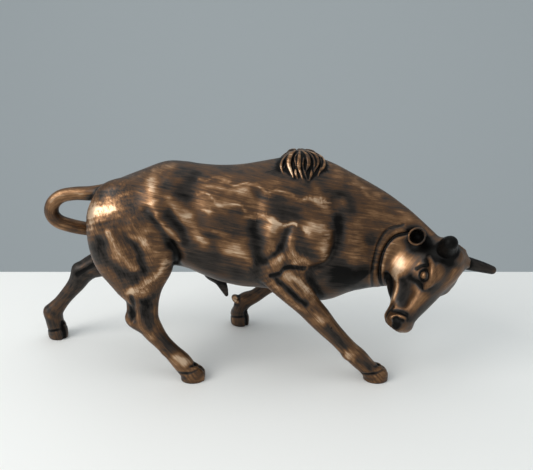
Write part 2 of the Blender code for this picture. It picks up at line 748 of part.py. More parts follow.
def thin_out(bull):
    """Fewer, larger faces, the finest of them kept on the head, the tuft and the hooves."""
    mesh = bull.data
    group = bull.vertex_groups.new(name="plain")
    centres = [Vector(place) * UNIT for place in CROWN[:2]] + [on_head(*FACE_MIDDLE)]
    radii = [CROWN[3] * UNIT, CROWN[3] * UNIT, FACE_REACH * HEAD_UNIT]
    sorts = {1.0: [], DETAIL_SHARE: []}
    for vertex in mesh.vertices:
        fine = vertex.co.z < HOOF_LEVELS[-1][0] * HOOF_HEIGHT or any(
            (vertex.co - centre).length < radius for centre, radius in zip(centres, radii)
        )
        sorts[DETAIL_SHARE if fine else 1.0].append(vertex.index)
    for share, members in sorts.items():
        group.add(members, share, "REPLACE")
    mesh.calc_loop_triangles()
    thin = bull.modifiers.new("thin", "DECIMATE")
    thin.ratio = TRIANGLES / len(mesh.loop_triangles)
    thin.use_collapse_triangulate = True
    thin.vertex_group = "plain"
    thin.vertex_group_factor = DETAIL_FAVOUR
    baked(bull)
    bull.vertex_groups.clear()


def stand(bull):
    """Cuts the hooves flat on the ground and puts the origin under the middle of the figure."""
    bm = bmesh.new()
    bm.from_mesh(bull.data)
    everything = bm.verts[:] + bm.edges[:] + bm.faces[:]
    bmesh.ops.bisect_plane(
        bm,
        geom=everything,
        dist=CUT_TOLERANCE,
        plane_co=(0, 0, 0),
        plane_no=(0, 0, -1),
        clear_outer=True,
    )
    rims = [edge for edge in bm.edges if edge.is_boundary]
    bmesh.ops.holes_fill(bm, edges=rims, sides=0)
    for vertex in bm.verts:
        if abs(vertex.co.z) < GROUND_TOLERANCE:
            vertex.co.z = 0.0
    bmesh.ops.triangulate(bm, faces=bm.faces[:])
    places = np.array([vertex.co for vertex in bm.verts])
    middle = (places.min(axis=0) + places.max(axis=0)) / 2
    bmesh.ops.translate(bm, vec=(-middle[0], -middle[1], 0), verts=bm.verts[:])
    bmesh.ops.recalc_face_normals(bm, faces=bm.faces[:])
    bm.to_mesh(bull.data)
    bm.free()
    bull.data.shade_smooth()


def dress(bull):
    """Dark bronze patina."""
    bronze = bpy.data.materials.new("dark_bronze")
    bronze.use_nodes = True
    shader = bronze.node_tree.nodes["Principled BSDF"]
    shader.inputs["Base Color"].default_value = BRONZE
    shader.inputs["Roughness"].default_value = BRONZE_ROUGHNESS
    shader.inputs["Metallic"].default_value = BRONZE_METALLIC
    bull.data.materials.clear()
    bull.data.materials.append(bronze)


def main():
    """Clears the scene and builds the bull."""
    for obj in list(bpy.data.objects):
        bpy.data.objects.remove(obj)
    bm = flesh()
    mesh = bpy.data.meshes.new("bull")
    bm.to_mesh(mesh)
    bm.free()
    bull = bpy.data.objects.new("bull", mesh)
    bpy.context.scene.collection.objects.link(bull)
    fuse(bull, FLESH_VOXEL, FLESH_PASSES)
    press(bull, press_relief)
    bm = bmesh.new()
    bm.from_mesh(bull.data)
    add_trim(bm)
    bm.to_mesh(bull.data)
    bm.free()
    fuse(bull, SKIN_VOXEL, SKIN_PASSES)
    press(bull, press_creases)
    thin_out(bull)
    stand(bull)
    dress(bull)
    return bull


main()
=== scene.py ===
"""Dresses the cast bull: a bronze casting with its fine modelling and patina, in a studio.

The casting is worked up as clay is. A block of cells holds for each cell how far it
lies outside the skin. Lofts, tubes and ellipsoids are merged into it with a soft
fillet, swells and folds are pressed into it, and the skin is then drawn through the
cells where that distance is zero. Places are written on the figure's drawing grid,
about 150 units to its height, with +X towards the head and -Y its right flank.
"""

from __future__ import annotations

import itertools
import logging
import math
from collections.abc import Sequence
from dataclasses import dataclass, field
from enum import Enum

import bpy
import numpy as np
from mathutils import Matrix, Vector

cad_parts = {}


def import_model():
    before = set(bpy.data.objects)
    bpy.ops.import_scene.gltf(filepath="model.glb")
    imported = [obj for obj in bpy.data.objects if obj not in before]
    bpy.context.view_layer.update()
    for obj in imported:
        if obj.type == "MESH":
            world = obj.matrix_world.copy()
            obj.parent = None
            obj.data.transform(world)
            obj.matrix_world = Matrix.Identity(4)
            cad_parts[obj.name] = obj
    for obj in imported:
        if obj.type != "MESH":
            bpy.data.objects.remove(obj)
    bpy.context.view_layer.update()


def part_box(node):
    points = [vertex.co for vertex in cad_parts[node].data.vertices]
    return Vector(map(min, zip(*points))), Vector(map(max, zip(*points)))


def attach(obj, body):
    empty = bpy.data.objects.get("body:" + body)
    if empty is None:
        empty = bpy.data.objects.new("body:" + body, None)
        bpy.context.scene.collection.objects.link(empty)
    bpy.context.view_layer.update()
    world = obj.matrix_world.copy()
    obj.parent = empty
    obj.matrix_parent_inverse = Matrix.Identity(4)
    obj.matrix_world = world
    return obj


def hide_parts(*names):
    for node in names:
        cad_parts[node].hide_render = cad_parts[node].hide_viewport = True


LOG = logging.getLogger("bull")

NODE = "bull"

# The drawing grid: the height of the figure's box on it, and where the middle of that
# box lies
GRID_BOX_HEIGHT = 150.13
GRID_MIDDLE = (-12.58, 2.17, 0.0)

# Distance between cells, what an empty cell holds, and how far past a shape its own
# distances are worked out, in grid units
FINE_PITCH = 0.5
FAR = 20.0
MARGIN = 6.0

# How far out a crease is worked out, in its half widths, and the direction that its
# round section is set up from
CREASE_REACH = 2.2
CREASE_SIDE = (0.03, 0.02, 1.0)

# A length too short to see, which gives a path of one place a direction, and a number
# that keeps a quotient finite
SHORT = 1e-3
TINY = 1e-9
# The least square of the slope by which a place is moved into the skin
LEAST_SLOPE = 0.05

AHEAD = (1, 0, 0)
ACROSS = (0, 1, 0)
UP = (0, 0, 1)

# Directions close to Y that hardly any limb or normal has
BRUSH_SIDE = (0.05, 1, 0.02)
RIDGE_SIDE = (0.12, 1.0, 0.07)

# Steps out along the normal, or beside a point, in grid units, and the weight of each
HOLLOW_STEPS = ((1.0, 0.25), (2.0, 0.3), (3.5, 0.25), (5.0, 0.2))
RIDGE_STEPS = ((1.0, 0.25), (2.2, 0.25))

Row = tuple[float, ...]
Route = tuple[Row, ...]


class Hand(Enum):
    """A side of the figure, as the sign of Y there."""

    RIGHT = -1
    LEFT = 1


def smooth_rows(rows: Sequence[Row], steps: int = 6) -> np.ndarray:
    """Makes rows of numbers denser with a Catmull-Rom curve through each column.

    Between two rows p1 and p2, with p0 before and p3 after, the curve at share t is
    (2 p1 + (p2 - p0) t + (2 p0 - 5 p1 + 4 p2 - p3) t^2 + (3 p1 - p0 - 3 p2 + p3) t^3) / 2.

    Args:
        rows: The rows that the curve passes through.
        steps: How many rows are made of each stretch.

    Returns:
        The dense rows, one after another.
    """
    given = np.asarray(rows, float)
    padded = np.vstack([2 * given[0] - given[1], given, 2 * given[-1] - given[-2]])
    before, start, end, after = (padded[i : i + len(given) - 1, None] for i in range(4))
    t = (np.arange(steps) / steps)[None, :, None]
    dense = 0.5 * (
        2 * start
        + (end - before) * t
        + (2 * before - 5 * start + 4 * end - after) * t**2
        + (3 * start - before - 3 * end + after) * t**3
    )
    return np.vstack([dense.reshape(-1, given.shape[1]), given[-1]])


def unit_vector(vector: np.ndarray) -> np.ndarray:
    """The vector at length one."""
    return vector / np.linalg.norm(vector)


def smoothstep(value: np.ndarray) -> np.ndarray:
    """Rises from 0 to 1 as value does, flat at both ends: 3 v^2 - 2 v^3."""
    held = np.clip(value, 0, 1)
    return held * held * (3 - 2 * held)


def oval_distance(*parts: tuple[np.ndarray, np.ndarray | float]) -> np.ndarray:
    """Distances outside an oval, from the offset and the radius along each of its axes.

    With k0 the length of the offsets over the radii and k1 that of the offsets over
    the squares of the radii, the distance is close to k0 (k0 - 1) / k1.

    Args:
        parts: Offset and radius along each axis.

    Returns:
        The distances, negative inside.
    """
    scaled, squared = 0.0, 0.0
    for offset, radius in parts:
        share = offset / radius
        scaled = scaled + share * share
        squared = squared + (share / radius) ** 2
    scaled = np.sqrt(scaled)
    return scaled * (scaled - 1) / np.sqrt(squared + TINY)


def capped(distance: np.ndarray, run: np.ndarray, first: float, last: float) -> np.ndarray:
    """Distances to a loft that is cut off square at both ends of its run.

    Args:
        distance: Distances to the loft as if it went on.
        run: Place of each cell along the run.
        first: Where the run starts.
        last: Where it ends.

    Returns:
        The distances.
    """
    past = np.maximum(0, np.maximum(first - run, run - last))
    return np.where(past > 0, np.hypot(np.maximum(distance, 0), past), distance).astype(np.float32)


@dataclass
class Clay:
    """A block of cells, each holding how far it lies outside the skin, in grid units.

    Attributes:
        low: Lowest corner of the block.
        high: Highest corner of the block.
        pitch: Distance between cells.
        outside: The distance that each cell holds.
    """

    low: Row
    high: Row
    pitch: float
    outside: np.ndarray = field(init=False)

    def __post_init__(self) -> None:
        """Fills the block with empty cells."""
        size = (np.subtract(self.high, self.low) / self.pitch).astype(int) + 2
        self.outside = np.full(size, FAR, np.float32)

    def window(self, low: np.ndarray, high: np.ndarray) -> tuple[slice, ...]:
        """The cells from one corner to another.

        Args:
            low: Lowest corner, on the grid.
            high: Highest corner, on the grid.

        Returns:
            A slice for each axis.
        """
        first = np.floor((np.asarray(low) - self.low) / self.pitch).astype(int)
        last = np.ceil((np.asarray(high) - self.low) / self.pitch).astype(int) + 1
        size = self.outside.shape
        return tuple(
            slice(max(0, a), min(n, b)) for a, b, n in zip(first, last, size, strict=True)
        )

    def whole(self) -> tuple[slice, ...]:
        """The window of all cells."""
        return tuple(slice(0, n) for n in self.outside.shape)

    def axes(
        self, window: tuple[slice, ...], origin: Sequence[float] = (0, 0, 0)
    ) -> tuple[np.ndarray, ...]:
        """Places of the window's cells along each axis, shaped to broadcast together.

        Args:
            window: The cells.
            origin: Where the places are measured from.

        Returns:
            The places along x, y and z.
        """
        found = []
        for axis, cells in enumerate(window):
            places = self.low[axis] + self.pitch * np.arange(cells.start, cells.stop)
            shape = [1, 1, 1]
            shape[axis] = -1
            found.append(places.astype(np.float32).reshape(shape) - np.float32(origin[axis]))
        return tuple(found)

    def merge(self, window: tuple[slice, ...], other: np.ndarray, fillet: float) -> None:
        """Joins a shape on, with a fillet where both skins are near.

        The distance becomes b h + a (1 - h) - k h (1 - h), where a and b are the two
        distances, k is the fillet and h runs from 0 to 1 as a - b goes from -k to k.

        Args:
            window: The cells that the shape covers.
            other: The shape's distances there.
            fillet: Size of the fillet, on the grid.
        """
        here = self.outside[window]
        share = np.clip(0.5 + 0.5 * (here - other) / fillet, 0, 1)
        self.outside[window] = here + share * (other - here) - fillet * share * (1 - share)

    def carve(self, window: tuple[slice, ...], other: np.ndarray, fillet: float) -> None:
        """Cuts a shape away, as a merge with the clay turned inside out.

        Args:
            window: The cells that the shape covers.
            other: The shape's distances there.
            fillet: Size of the round at its rim, on the grid.
        """
        self.outside[window] *= -1
        self.merge(window, other, fillet)
        self.outside[window] *= -1

    def ellipsoid(self, start: Row, end: Row, thickness: float, width: float, side: Row) -> tuple:
        """Distances to an ellipsoid from start to end.

        Args:
            start: One end of its long axis.
            end: The other end.
            thickness: Half size across the side direction.
            width: Half size along the side direction.
            side: The side direction.

        Returns:
            The window and the distances in it.
        """
        first, last = np.array(start, float), np.array(end, float)
        middle, half = (first + last) / 2, np.linalg.norm(last - first) / 2
        along = (last - first) / (2 * half)
        across = unit_vector(np.cross(along, side))
        over = np.cross(along, across)
        reach = max(half, thickness, width) + MARGIN
        window = self.window(middle - reach, middle + reach)
        x, y, z = self.axes(window, middle)
        parts = [
            (x * axis[0] + y * axis[1] + z * axis[2], radius)
            for axis, radius in ((along, half), (across, thickness), (over, width))
        ]
        return window, oval_distance(*parts).astype(np.float32)

    def tube(self, rows: np.ndarray, side: Row, reach: float = MARGIN) -> tuple:
        """Distances to a tube with an elliptic section, rounded at its ends.

        Each stretch of the path gives the distance from the offset to its nearest point,
        as for an oval, and the least of them counts.

        Args:
            rows: x, y, z, thickness and width at each point of the path.
            side: The direction along which the width lies.
            reach: How far out the distances are worked out.

        Returns:
            The window and the distances in it.
        """
        path, sizes = rows[:, :3], rows[:, 3:]
        spread = sizes.max() + reach
        window = self.window(path.min(axis=0) - spread, path.max(axis=0) + spread)
        found = np.full([s.stop - s.start for s in window], FAR, np.float32)
        for start, end, before, after in zip(path, path[1:], sizes, sizes[1:], strict=False):
            length = np.linalg.norm(end - start)
            if length < TINY:
                continue
            along = (end - start) / length
            across = unit_vector(np.cross(along, side))
            over = np.cross(across, along)
            wide = max(before.max(), after.max()) + reach
            near = self.window(np.minimum(start, end) - wide, np.maximum(start, end) + wide)
            x, y, z = self.axes(near, start)
            run = x * along[0] + y * along[1] + z * along[2]
            held = np.clip(run, 0, length)
            share = held / length
            thickness = before[0] + (after[0] - before[0]) * share
            width = before[1] + (after[1] - before[1]) * share
            distance = oval_distance(
                (x * across[0] + y * across[1] + z * across[2], thickness),
                (x * over[0] + y * over[1] + z * over[2], width),
                (run - held, np.minimum(thickness, width)),
            )
            inner = tuple(
                slice(part.start - full.start, part.stop - full.start)
                for part, full in zip(near, window, strict=True)
            )
            found[inner] = np.minimum(found[inner], distance)
        return window, found

    def sample(self, places: np.ndarray) -> np.ndarray:
        """The distance at any places, from the eight cells round each of them.

        Args:
            places: One place to a row, on the grid.

        Returns:
            The distance at each place.
        """
        held = (places - np.asarray(self.low)) / self.pitch
        top = np.array(self.outside.shape) - 2
        cell = np.clip(np.floor(held).astype(int), 0, top)
        part = np.clip(held - cell, 0, 1)
        total = np.zeros(len(places))
        for corner in np.ndindex(2, 2, 2):
            weight = np.prod(np.where(corner, part, 1 - part), axis=1)
            total += weight * self.outside[tuple((cell + corner).T)]
        return total

    def slope(self, places: np.ndarray) -> np.ndarray:
        """Which way and how fast the distance grows at any places.

        Args:
            places: One place to a row, on the grid.

        Returns:
            The growth along each axis, one row to a place.
        """
        step = self.pitch
        found = []
        for axis in np.eye(3):
            found.append(self.sample(places + axis * step) - self.sample(places - axis * step))
        return np.stack(found, axis=1) / (2 * step)

    def settle(self, places: np.ndarray, rounds: int = 8) -> np.ndarray:
        """Walks places down the slope until they lie in the skin.

        Args:
            places: One place to a row, near the skin.
            rounds: How many steps are taken.

        Returns:
            The places in the skin.
        """
        for _ in range(rounds):
            slope = self.slope(places)
            steep = np.maximum((slope * slope).sum(axis=1), LEAST_SLOPE)
            places = places - slope * (self.sample(places) / steep)[:, None]
        return places

    def press(self, route: Sequence[Row], radius: float, depth: float, laid: bool = True) -> None:
        """Presses a crease along a route, or raises a ridge where depth is negative.

        The skin sinks by depth exp(-(d / radius)^2), d being the distance to the route.

        Args:
            route: Points of the route; a smooth curve passes through them.
            radius: Half width of the crease.
            depth: How deep it goes.
            laid: Whether the route is first settled in the skin.
        """
        path = smooth_rows(route) if len(route) > 1 else np.array([route[0], route[0]], float)
        if laid:
            path = self.settle(path)
        path[-1] += SHORT
        sizes = np.full((len(path), 2), radius)
        window, gap = self.tube(np.hstack([path, sizes]), CREASE_SIDE, CREASE_REACH * radius)
        self.outside[window] += depth * np.exp(-(((gap + radius) / radius) ** 2))

    def skin(self) -> tuple[np.ndarray, np.ndarray]:
        """Draws the skin where the distance is zero.

        Each cube of eight cells with both signs gets one point, the mean of the places
        where its edges cross zero. Each crossed edge between cells gives a face through
        the four cubes round it.

        Returns:
            Points on the grid, and faces of four points that look outwards.
        """
        inside = self.outside < 0
        size = np.array(inside.shape) - 1
        count = np.zeros(size, np.uint8)
        corners = [np.array(c) for c in np.ndindex(2, 2, 2)]
        for a, b, c in corners:
            count += inside[a : size[0] + a, b : size[1] + b, c : size[2] + c]
        mixed = (count > 0) & (count < 8)
        cells = np.argwhere(mixed)
        number = np.full(size, -1, np.int32)
        number[mixed] = np.arange(len(cells))
        total, hits = np.zeros((len(cells), 3)), np.zeros(len(cells))
        for start in corners:
            for axis in np.eye(3, dtype=int):
                if (start * axis).any():
                    continue
                first = self.outside[tuple((cells + start).T)]
                second = self.outside[tuple((cells + start + axis).T)]
                crossed = (first < 0) != (second < 0)
                share = first / np.where(crossed, first - second, 1)
                total += crossed[:, None] * (start + share[:, None] * axis)
                hits += crossed
        points = np.asarray(self.low) + self.pitch * (cells + total / hits[:, None])
        faces = []
        for axis in range(3):
            ahead, beside, above = np.roll(np.eye(3, dtype=int), -axis, axis=0)
            ends = tuple(slice(0, n) for n in size)
            moved = tuple(slice(a, n + a) for a, n in zip(ahead, size, strict=True))
            edges = np.argwhere(inside[ends] != inside[moved])
            edges = edges[(edges @ beside > 0) & (edges @ above > 0)]
            around = (beside + above, above, 0 * above, beside)
            square = np.stack([number[tuple((edges - step).T)] for step in around], axis=1)
            leaving = inside[tuple(edges.T)]
            faces.append(np.where(leaving[:, None], square, square[:, ::-1]))
        return points, np.vstack(faces)


@dataclass(frozen=True)
class HeadFrame:
    """How the head is held, and its own grid of 58 units from poll to nose.

    Attributes:
        poll: The place between the horns, on the figure's grid.
        turn: Degrees that the nose is turned to the left.
        drop: Degrees that the nose is lowered past the level, towards the chest.
        roll: Degrees that the forehead is rolled towards the right flank.
        side_unit: Grid units to one of the head's units from side to side.
    """

    poll: Row = (119.2, -33.0, 86.8)
    turn: float = 9.4
    drop: float = 126.0
    roll: float = 62.0
    side_unit: float = 13.2 / 14

    @property
    def axes(self) -> np.ndarray:
        """Directions to the head's left, to its nose and out of its forehead.

        Returns:
            One direction to a row, on the figure's grid.
        """
        turn, drop, roll = np.radians([self.turn, self.drop, self.roll])
        nose = np.array(
            [math.cos(drop) * math.cos(turn), math.cos(drop) * math.sin(turn), -math.sin(drop)]
        )
        level = np.array([-math.sin(turn), math.cos(turn), 0])
        left = level * math.cos(roll) + np.cross(nose, level) * math.sin(roll)
        return np.array([left, nose, np.cross(nose, left)])

    def place(self, side: float, nose: float, forehead: float) -> Row:
        """A place on the figure's grid from one on the head's."""
        held = np.array([side * self.side_unit, nose, forehead]) @ self.axes
        return tuple(held + self.poll)

    def on_head(self, places: np.ndarray) -> np.ndarray:
        """Places on the head's grid from ones on the figure's, one to a row."""
        held = (places - np.array(self.poll)) @ self.axes.T
        return held / (self.side_unit, 1, 1)


@dataclass(frozen=True)
class Trunk:
    """Barrel, chest and neck as one loft of egg-shaped upright sections.

    Attributes:
        half_width: Half width of the barrel.
        stations: x, top, bottom, half width as a share, how much narrower the top is
            than the bottom, and how far the middle leaves the centre plane.
        fillet: Size of the fillet to other flesh.
    """

    half_width: float = 34.5
    stations: Route = (
        (-116, 119, 102, 0.22, 0.0, 0),
        (-109.5, 125.5, 89, 0.54, 0.0, 0),
        (-97, 131, 80, 0.76, 0.05, 0),
        (-84, 136, 74, 0.88, 0.12, 0),
        (-67, 142, 72.5, 0.94, 0.20, 0),
        (-54, 142, 70.5, 0.95, 0.22, 0),
        (-44, 140.5, 66, 0.98, 0.20, 0),
        (-31, 139.5, 60.5, 1.00, 0.18, 0),
        (-17, 140, 57, 1.00, 0.20, 0),
        (-4, 142, 56, 1.00, 0.24, 0),
        (10, 144.5, 54, 0.98, 0.30, 0),
        (22, 146, 50, 0.96, 0.33, 0),
        (34, 144.5, 46, 0.92, 0.33, 0),
        (45, 140.5, 47, 0.84, 0.30, 0),
        (56, 134.8, 51, 0.76, 0.25, 0),
        (69, 127.8, 54, 0.64, 0.18, 0),
        (83, 119.6, 56, 0.52, 0.10, -3),
        (97, 109.2, 64, 0.44, 0.05, -10),
        (108, 99.6, 72, 0.36, 0.0, -19),
        (116, 92, 78, 0.20, 0.0, -25),
    )
    fillet: float = 1.0

    def model(self, clay: Clay) -> None:
        """Merges the trunk in.

        At height v as a share of the section's half height, the half width is
        w (1 - n v) sqrt(1 - v^2), with n the narrowing.

        Args:
            clay: The block to work in.
        """
        rows = smooth_rows(self.stations)
        reach = self.half_width + MARGIN
        low = (rows[0, 0] - MARGIN, rows[:, 5].min() - reach, rows[:, 2].min() - MARGIN)
        high = (rows[-1, 0] + MARGIN, reach, rows[:, 1].max() + MARGIN)
        window = clay.window(low, high)
        x, y, z = clay.axes(window)
        top, bottom, share, narrowing, shift = (
            np.interp(x, rows[:, 0], rows[:, k]).astype(np.float32) for k in range(1, 6)
        )
        tall = (top - bottom) / 2
        rise = z - (top + bottom) / 2
        wide = self.half_width * share * (1 - narrowing * np.clip(rise / tall, -1, 1))
        distance = oval_distance((y - shift, wide), (rise, tall))
        clay.merge(window, capped(distance, x, rows[0, 0], rows[-1, 0]), self.fillet)


# Height, share of the size and lean of a hoof's levels, heights and leans in the hoof's
# heights: one that stands flat, and one that shows the bulbs of its heel
FLAT_HOOF = (
    (-0.3, 1.0, 0.0),
    (0.0, 1.0, 0.0),
    (0.3, 1.0, 0.02),
    (0.7, 0.97, 0.04),
    (1.0, 0.88, -0.06),
    (1.25, 0.74, -0.2),
    (1.55, 0.5, -0.34),
)
ROUND_HOOF = (
    (-0.3, 0.94, 0.0),
    (0.0, 0.94, 0.0),
    (0.35, 1.0, 0.0),
    (0.8, 1.0, 0.0),
    (1.2, 0.96, -0.04),
    (1.5, 0.87, -0.08),
    (1.8, 0.68, -0.12),
    (2.05, 0.4, -0.16),
)
# The share of the profile's height at which the horn of the hoof is cut off
HOOF_TOP = 0.9
# Places of the cleft between the toes, in the hoof's lengths ahead and heights up, with
# the half width and the depth of its crease
CLEFT = ((0.52, -0.1), (0.52, 0.35), (0.47, 0.8), (0.30, 1.15), (0.12, 1.5))
CLEFT_RADIUS = 1.0
CLEFT_DEPTH = 2.4
# The groove of the coronet: its half size and how far back its middle lies, in the
# hoof's lengths, and its height and how much it rises in front, in the hoof's heights
CORONET_HALF = 0.46
CORONET_BACK = 0.2
CORONET_HEIGHT = 1.0
CORONET_RISE = 0.16
CORONET_RADIUS = 0.8
CORONET_DEPTH = 0.55


@dataclass(frozen=True)
class Leg:
    """One leg with its hoof.

    Attributes:
        name: Which leg it is.
        stations: x, y, z, half thickness and half width as shares of the cannon's radius.
        sole: Middle of the sole.
        heading: Degrees from +X to where the toes point.
        cannon: Radius of the cannon.
        hoof: Length, width and height of the hoof.
        profile: Height, share of the size and lean of the hoof's levels, in its heights.
        brushed_from: The row of the dense path from which the brush follows the leg.
        fillet: Size of the fillet between the leg and the trunk.
        hoof_fillet: The same between the hoof and the leg.
    """

    name: str
    stations: Route
    sole: Row
    heading: float = 0.0
    cannon: float = 5.6
    hoof: Row = (16.5, 14.0, 7.5)
    profile: Route = FLAT_HOOF
    brushed_from: int = 30
    fillet: float = 4.0
    hoof_fillet: float = 0.9

    @property
    def path(self) -> np.ndarray:
        """The dense path with its half sizes, on the grid."""
        return smooth_rows(self.stations) * (1, 1, 1, self.cannon, self.cannon)

    def model(self, clay: Clay) -> None:
        """Merges the leg in, and then its hoof.

        Args:
            clay: The block to work in.
        """
        clay.merge(*clay.tube(self.path, ACROSS), self.fillet)
        clay.merge(*self.horn_of_hoof(clay), self.hoof_fillet)

    def directions(self) -> np.ndarray:
        """Level directions ahead of the toes and to their left, one to a row."""
        turn = math.radians(self.heading)
        return np.array([[math.cos(turn), math.sin(turn), 0], [-math.sin(turn), math.cos(turn), 0]])

    def horn_of_hoof(self, clay: Clay) -> tuple:
        """Distances to the hoof, a leaning tube of oval level sections.

        Its half sizes and its lean follow its height in steps joined by straight lines.

        Args:
            clay: The block to work in.

        Returns:
            The window and the distances in it.
        """
        length, width, height = self.hoof
        centre = np.array(self.sole, float)
        window = clay.window(centre - length, centre + length)
        x, y, z = clay.axes(window, centre)
        ahead, aside = (x * way[0] + y * way[1] for way in self.directions())
        levels, shares, leans = np.array(self.profile).T
        share = np.interp(z / height, levels, shares).astype(np.float32)
        lean = np.interp(z / height, levels, leans).astype(np.float32)
        distance = oval_distance((ahead - lean * height, length / 2 * share), (aside, width / 2 * share))
        distance = np.maximum(distance, z - HOOF_TOP * levels[-1] * height)
        return window, distance.astype(np.float32)

    def toes(self, clay: Clay) -> None:
        """Presses the cleft between the toes and the groove of the coronet.

        Args:
            clay: The block to work in.
        """
        length, width, height = self.hoof
        ahead, aside = self.directions() * [[length], [width]]
        sole = np.array(self.sole, float)
        cleft = [tuple(sole + ahead * along + (0, 0, height * up)) for along, up in CLEFT]
        clay.press(cleft, CLEFT_RADIUS, CLEFT_DEPTH)
        around = []
        for angle in np.radians(range(-150, 151, 30)):
            front = CORONET_HALF * math.cos(angle) - CORONET_BACK
            beside = CORONET_HALF * math.sin(angle)
            level = height * (CORONET_HEIGHT + CORONET_RISE * math.cos(angle))
            around.append(tuple(sole + ahead * front + aside * beside + (0, 0, level)))
        clay.press(around, CORONET_RADIUS, CORONET_DEPTH)


LEGS = (
    Leg(
        "near_hind",
        (
            (-92, -12, 122, 3.4, 2.0),
            (-90.5, -17, 107.5, 4.7, 2.6),
            (-87, -20, 93, 5.1, 2.6),
            (-84.5, -23, 80, 4.6, 2.4),
            (-83, -25.5, 68, 3.2, 2.0),
            (-80.6, -27, 57.7, 1.95, 1.5),
            (-79.6, -28, 49.6, 1.5, 1.25),
            (-79.2, -29, 42, 1.45, 1.25),
            (-75.2, -29.5, 33.7, 1.25, 1.1),
            (-69.5, -30.5, 26.2, 1.0, 0.95),
            (-63, -31.5, 19.1, 1.0, 0.95),
            (-57, -32, 12.3, 1.15, 1.1),
            (-52.5, -32.5, 6, 1.1, 1.1),
        ),
        (-49.5, -33, 0),
    ),
    Leg(
        "far_hind",
        (
            (-90, 12, 118, 3.2, 2.0),
            (-93, 19, 104, 3.9, 2.5),
            (-97, 23, 90, 3.9, 2.4),
            (-104, 25, 77, 3.3, 2.1),
            (-114, 26, 67, 2.4, 1.8),
            (-124, 26, 61, 1.75, 1.5),
            (-132, 26, 57.5, 1.45, 1.3),
            (-138.5, 26, 53, 1.4, 1.25),
            (-144, 26, 45, 1.15, 1.1),
            (-151, 26, 37, 0.98, 0.95),
            (-157.5, 26, 29.5, 0.98, 0.95),
            (-163.5, 26, 22, 1.2, 1.1),
            (-164, 26.5, 14, 1.15, 1.15),
            (-163, 27, 8, 1.2, 1.15),
        ),
        (-163, 27.5, 0),
        -35.0,
        profile=ROUND_HOOF,
    ),
    Leg(
        "near_fore",
        (
            (14, -14, 99.5, 3.6, 2.2),
            (8, -24, 87, 3.3, 1.9),
            (10, -29, 76, 2.6, 1.6),
            (18, -31, 64.3, 1.95, 1.5),
            (26.5, -32, 54, 1.5, 1.3),
            (34.2, -32.5, 45.1, 1.38, 1.25),
            (41, -33, 37.2, 1.2, 1.1),
            (47.7, -33, 29.9, 1.08, 0.97),
            (54.4, -33, 22.4, 1.08, 0.97),
            (60.8, -33, 16, 1.15, 1.1),
            (66.5, -33, 10, 1.05, 1.1),
            (70.5, -33, 5.5, 1.1, 1.15),
        ),
        (73.5, -33, 0),
        brushed_from=12,
    ),
    Leg(
        "far_fore",
        (
            (16, 18, 98, 3.4, 2.1),
            (14, 27, 84, 3.0, 1.9),
            (14, 35, 70, 2.2, 1.7),
            (13.5, 40, 58, 1.6, 1.4),
            (12, 44, 46, 1.35, 1.25),
            (6, 46, 38, 1.12, 1.1),
            (-1.5, 47, 32, 1.0, 0.95),
            (-9.5, 48, 25.5, 1.0, 0.95),
            (-18, 49.5, 20.5, 1.2, 1.1),
            (-21.5, 50, 13.5, 1.05, 1.1),
            (-22, 50, 8, 1.1, 1.15),
        ),
        (-22, 50.5, 0),
        -45.0,
        profile=ROUND_HOOF,
        brushed_from=12,
    ),
)


@dataclass(frozen=True)
class Tail:
    """Tail that loops up and back and lies down on the left thigh, ending in a brush.

    Attributes:
        radius: Radius of the tail.
        stations: x, y, z and the radius as a share.
        brush: Start and end of each lock of the brush.
        brush_share: Half thickness of a lock as a share of the tail's radius.
        fillet: Size of the fillet between the tail and the rump.
        brush_fillet: The same between the locks and the tail.
    """

    radius: float = 4.4
    stations: Route = (
        (-90, 0, 121.4, 1.3),
        (-100, 0, 122.2, 1.25),
        (-108, 0, 121.6, 1.2),
        (-118, 0, 120.5, 1.12),
        (-128, 0, 120.4, 1.03),
        (-137.6, 0, 118.6, 1.03),
        (-144, 0.5, 113.4, 1.05),
        (-146, 1.5, 106.4, 1.08),
        (-142.8, 3, 100.4, 1.1),
        (-135, 6, 96.2, 1.1),
        (-126, 10, 93, 1.08),
        (-115, 16, 90.3, 1.05),
        (-104, 24, 87, 1.0),
        (-95, 29, 82, 0.95),
    )
    brush: tuple[tuple[Row, Row], ...] = (
        ((-99, 27, 84), (-84, 32, 70)),
        ((-99, 29, 80), (-90, 33, 63)),
        ((-101, 28, 87), (-80, 31, 78)),
    )
    brush_share: float = 0.8
    fillet: float = 2.5
    brush_fillet: float = 0.8

    @property
    def path(self) -> np.ndarray:
        """The dense path with its half sizes, on the grid."""
        rows = smooth_rows(self.stations)
        return np.hstack([rows[:, :3], rows[:, 3:] * self.radius, rows[:, 3:] * self.radius])

    def model(self, clay: Clay) -> None:
        """Merges the tail in, and the locks of its brush.

        Args:
            clay: The block to work in.
        """
        clay.merge(*clay.tube(self.path, ACROSS), self.fillet)
        for start, end in self.brush:
            lock = clay.ellipsoid(start, end, self.brush_share * self.radius, self.radius, ACROSS)
            clay.merge(*lock, self.brush_fillet)


@dataclass(frozen=True)
class Muscle:
    """An ellipsoid of flesh.

    Attributes:
        start: One end of its long axis.
        end: The other end.
        thickness: Half thickness.
        width: Half width across the figure.
        fillet: Size of the fillet round it.
    """

    start: Row
    end: Row
    thickness: float
    width: float
    fillet: float = 3.0

    def model(self, clay: Clay) -> None:
        """Merges the muscle in."""
        shape = clay.ellipsoid(self.start, self.end, self.thickness, self.width, ACROSS)
        clay.merge(*shape, self.fillet)


